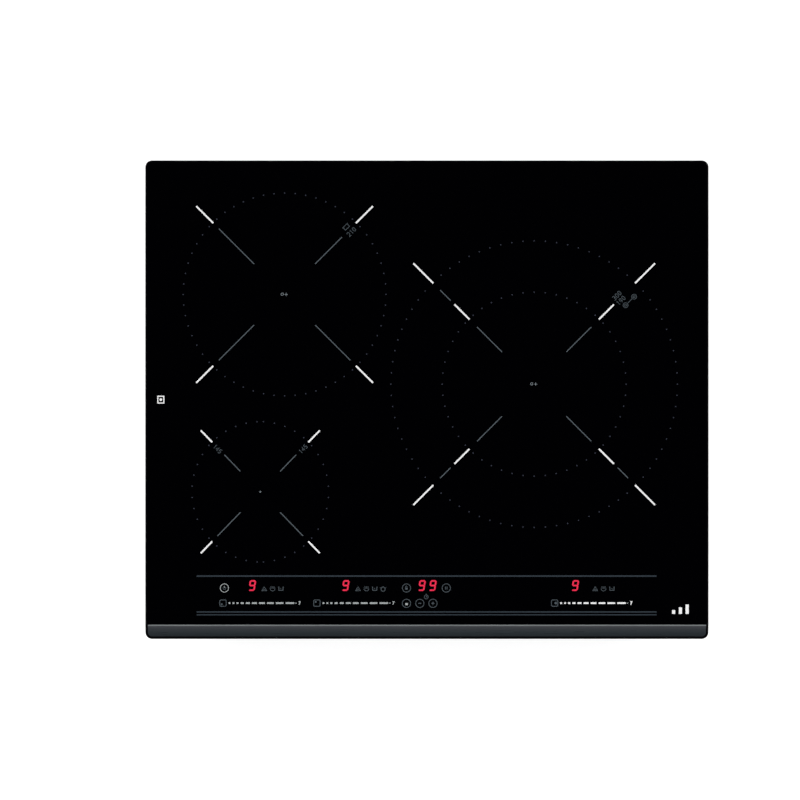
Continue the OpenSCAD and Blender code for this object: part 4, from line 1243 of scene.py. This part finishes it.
def finish_nodes():
    """A procedural material for every CAD node that stays."""
    looks = {
        "galvanised_steel": zinc_sheet(),
        "aluminium": rolled_aluminium(),
        "mica": mica_flake(),
        "copper_litz": litz("litz_leads", wound=False),
        "spring_contact": tinned_spring(),
        "white_ceramic": glazed_ceramic(),
        "circuit_board": solder_mask(),
        "ribbon_grey": flat_cable(),
        "seal_foam": foam(),
        "ceramic_glass": ceramic_glass(),
        # charcoal grey with a fine grain
        "ferrite": plain("ferrite", ((2.8, 6, 0.7), 0.035, 0.075), ((1.5, 4), 0.5, 0.7),
                         ((5, 4), 0.03, 0.6), Metallic=0.25),
        # adhesive, rippled by its nozzle
        "silicone": plain("silicone", ((0.3, 4), 0.03, 0.055), ((0.8, 3), 0.28, 0.4), ((0.5, 2), 0.2, 0.5)),
        # the lens of a figure that isn't lit
        "display_red": plain("red_lens", ((0.8, 3), (0.02, 0.002, 0.003), (0.045, 0.004, 0.006)),
                             ((1.5, 3), 0.12, 0.2), Coat_Weight=0.6, Coat_Roughness=0.05),
        # sleeves of the mains wires
        "wire_brown": plain("wire_sleeve", ((0.05, 3), (0.14, 0.05, 0.02), (0.19, 0.075, 0.03)),
                            ((1.2, 3), 0.36, 0.5), ((1.5, 3), 0.03, 0.4)),
    }
    looks.update((name, moulded(name, shade, rough)) for name, shade, rough in PLASTICS)
    looks.update((name, plated(name, shade, rough)) for name, shade, rough in METALS)
    sink = extruded_aluminium()
    power = component_cases("power_cases", 1.5, POWER_COLUMNS)
    own = {"heat_sink_left": sink, "heat_sink_right": sink, "power_parts_left": power,
           "power_parts_right": power, "filter_parts": component_cases("filter_cases", 2.0, FILTER_COLUMNS)}
    slots = {part["node"]: part["material_slot"] for part in frame["record"]["subparts"]}
    for name, node in frame["nodes"].items():
        node.data.materials.clear()
        node.data.materials.append(own.get(name) or looks[slots[name]])
    return looks


make_camera()
make_world()
make_floor()
for lamp_name, lamp_place, lamp_size in LAMPS:
    make_lamp(lamp_name, lamp_place, lamp_size)
looks = finish_nodes()
make_glass([looks["ceramic_glass"], ground_facet_painted_reflection(), arris_painted_highlight(), ground_edge()])
inks = [enamel("ink_" + ink_name, shade) for ink_name, shade in INKS]
for zone in ZONES:
    print_zone(zone, inks)
print_controls(inks)
print_marks(inks)
print_figures(lit_red())
black_ink = label_ink("label_black", (0.012, 0.012, 0.012))
make_data_plate(foil(), black_ink)
make_shock_sign(label_ink("label_yellow", (0.72, 0.5, 0.03)), black_ink)
copper = litz("litz_wound")
for winding in WINDINGS:
    wind(winding, copper)
for zone in ZONES:
    make_springs(zone, looks["spring_steel"])

bpy.context.scene.view_settings.view_transform = "Standard"
bpy.context.scene.view_settings.look = "None"
bpy.context.scene.view_settings.exposure = 0.0
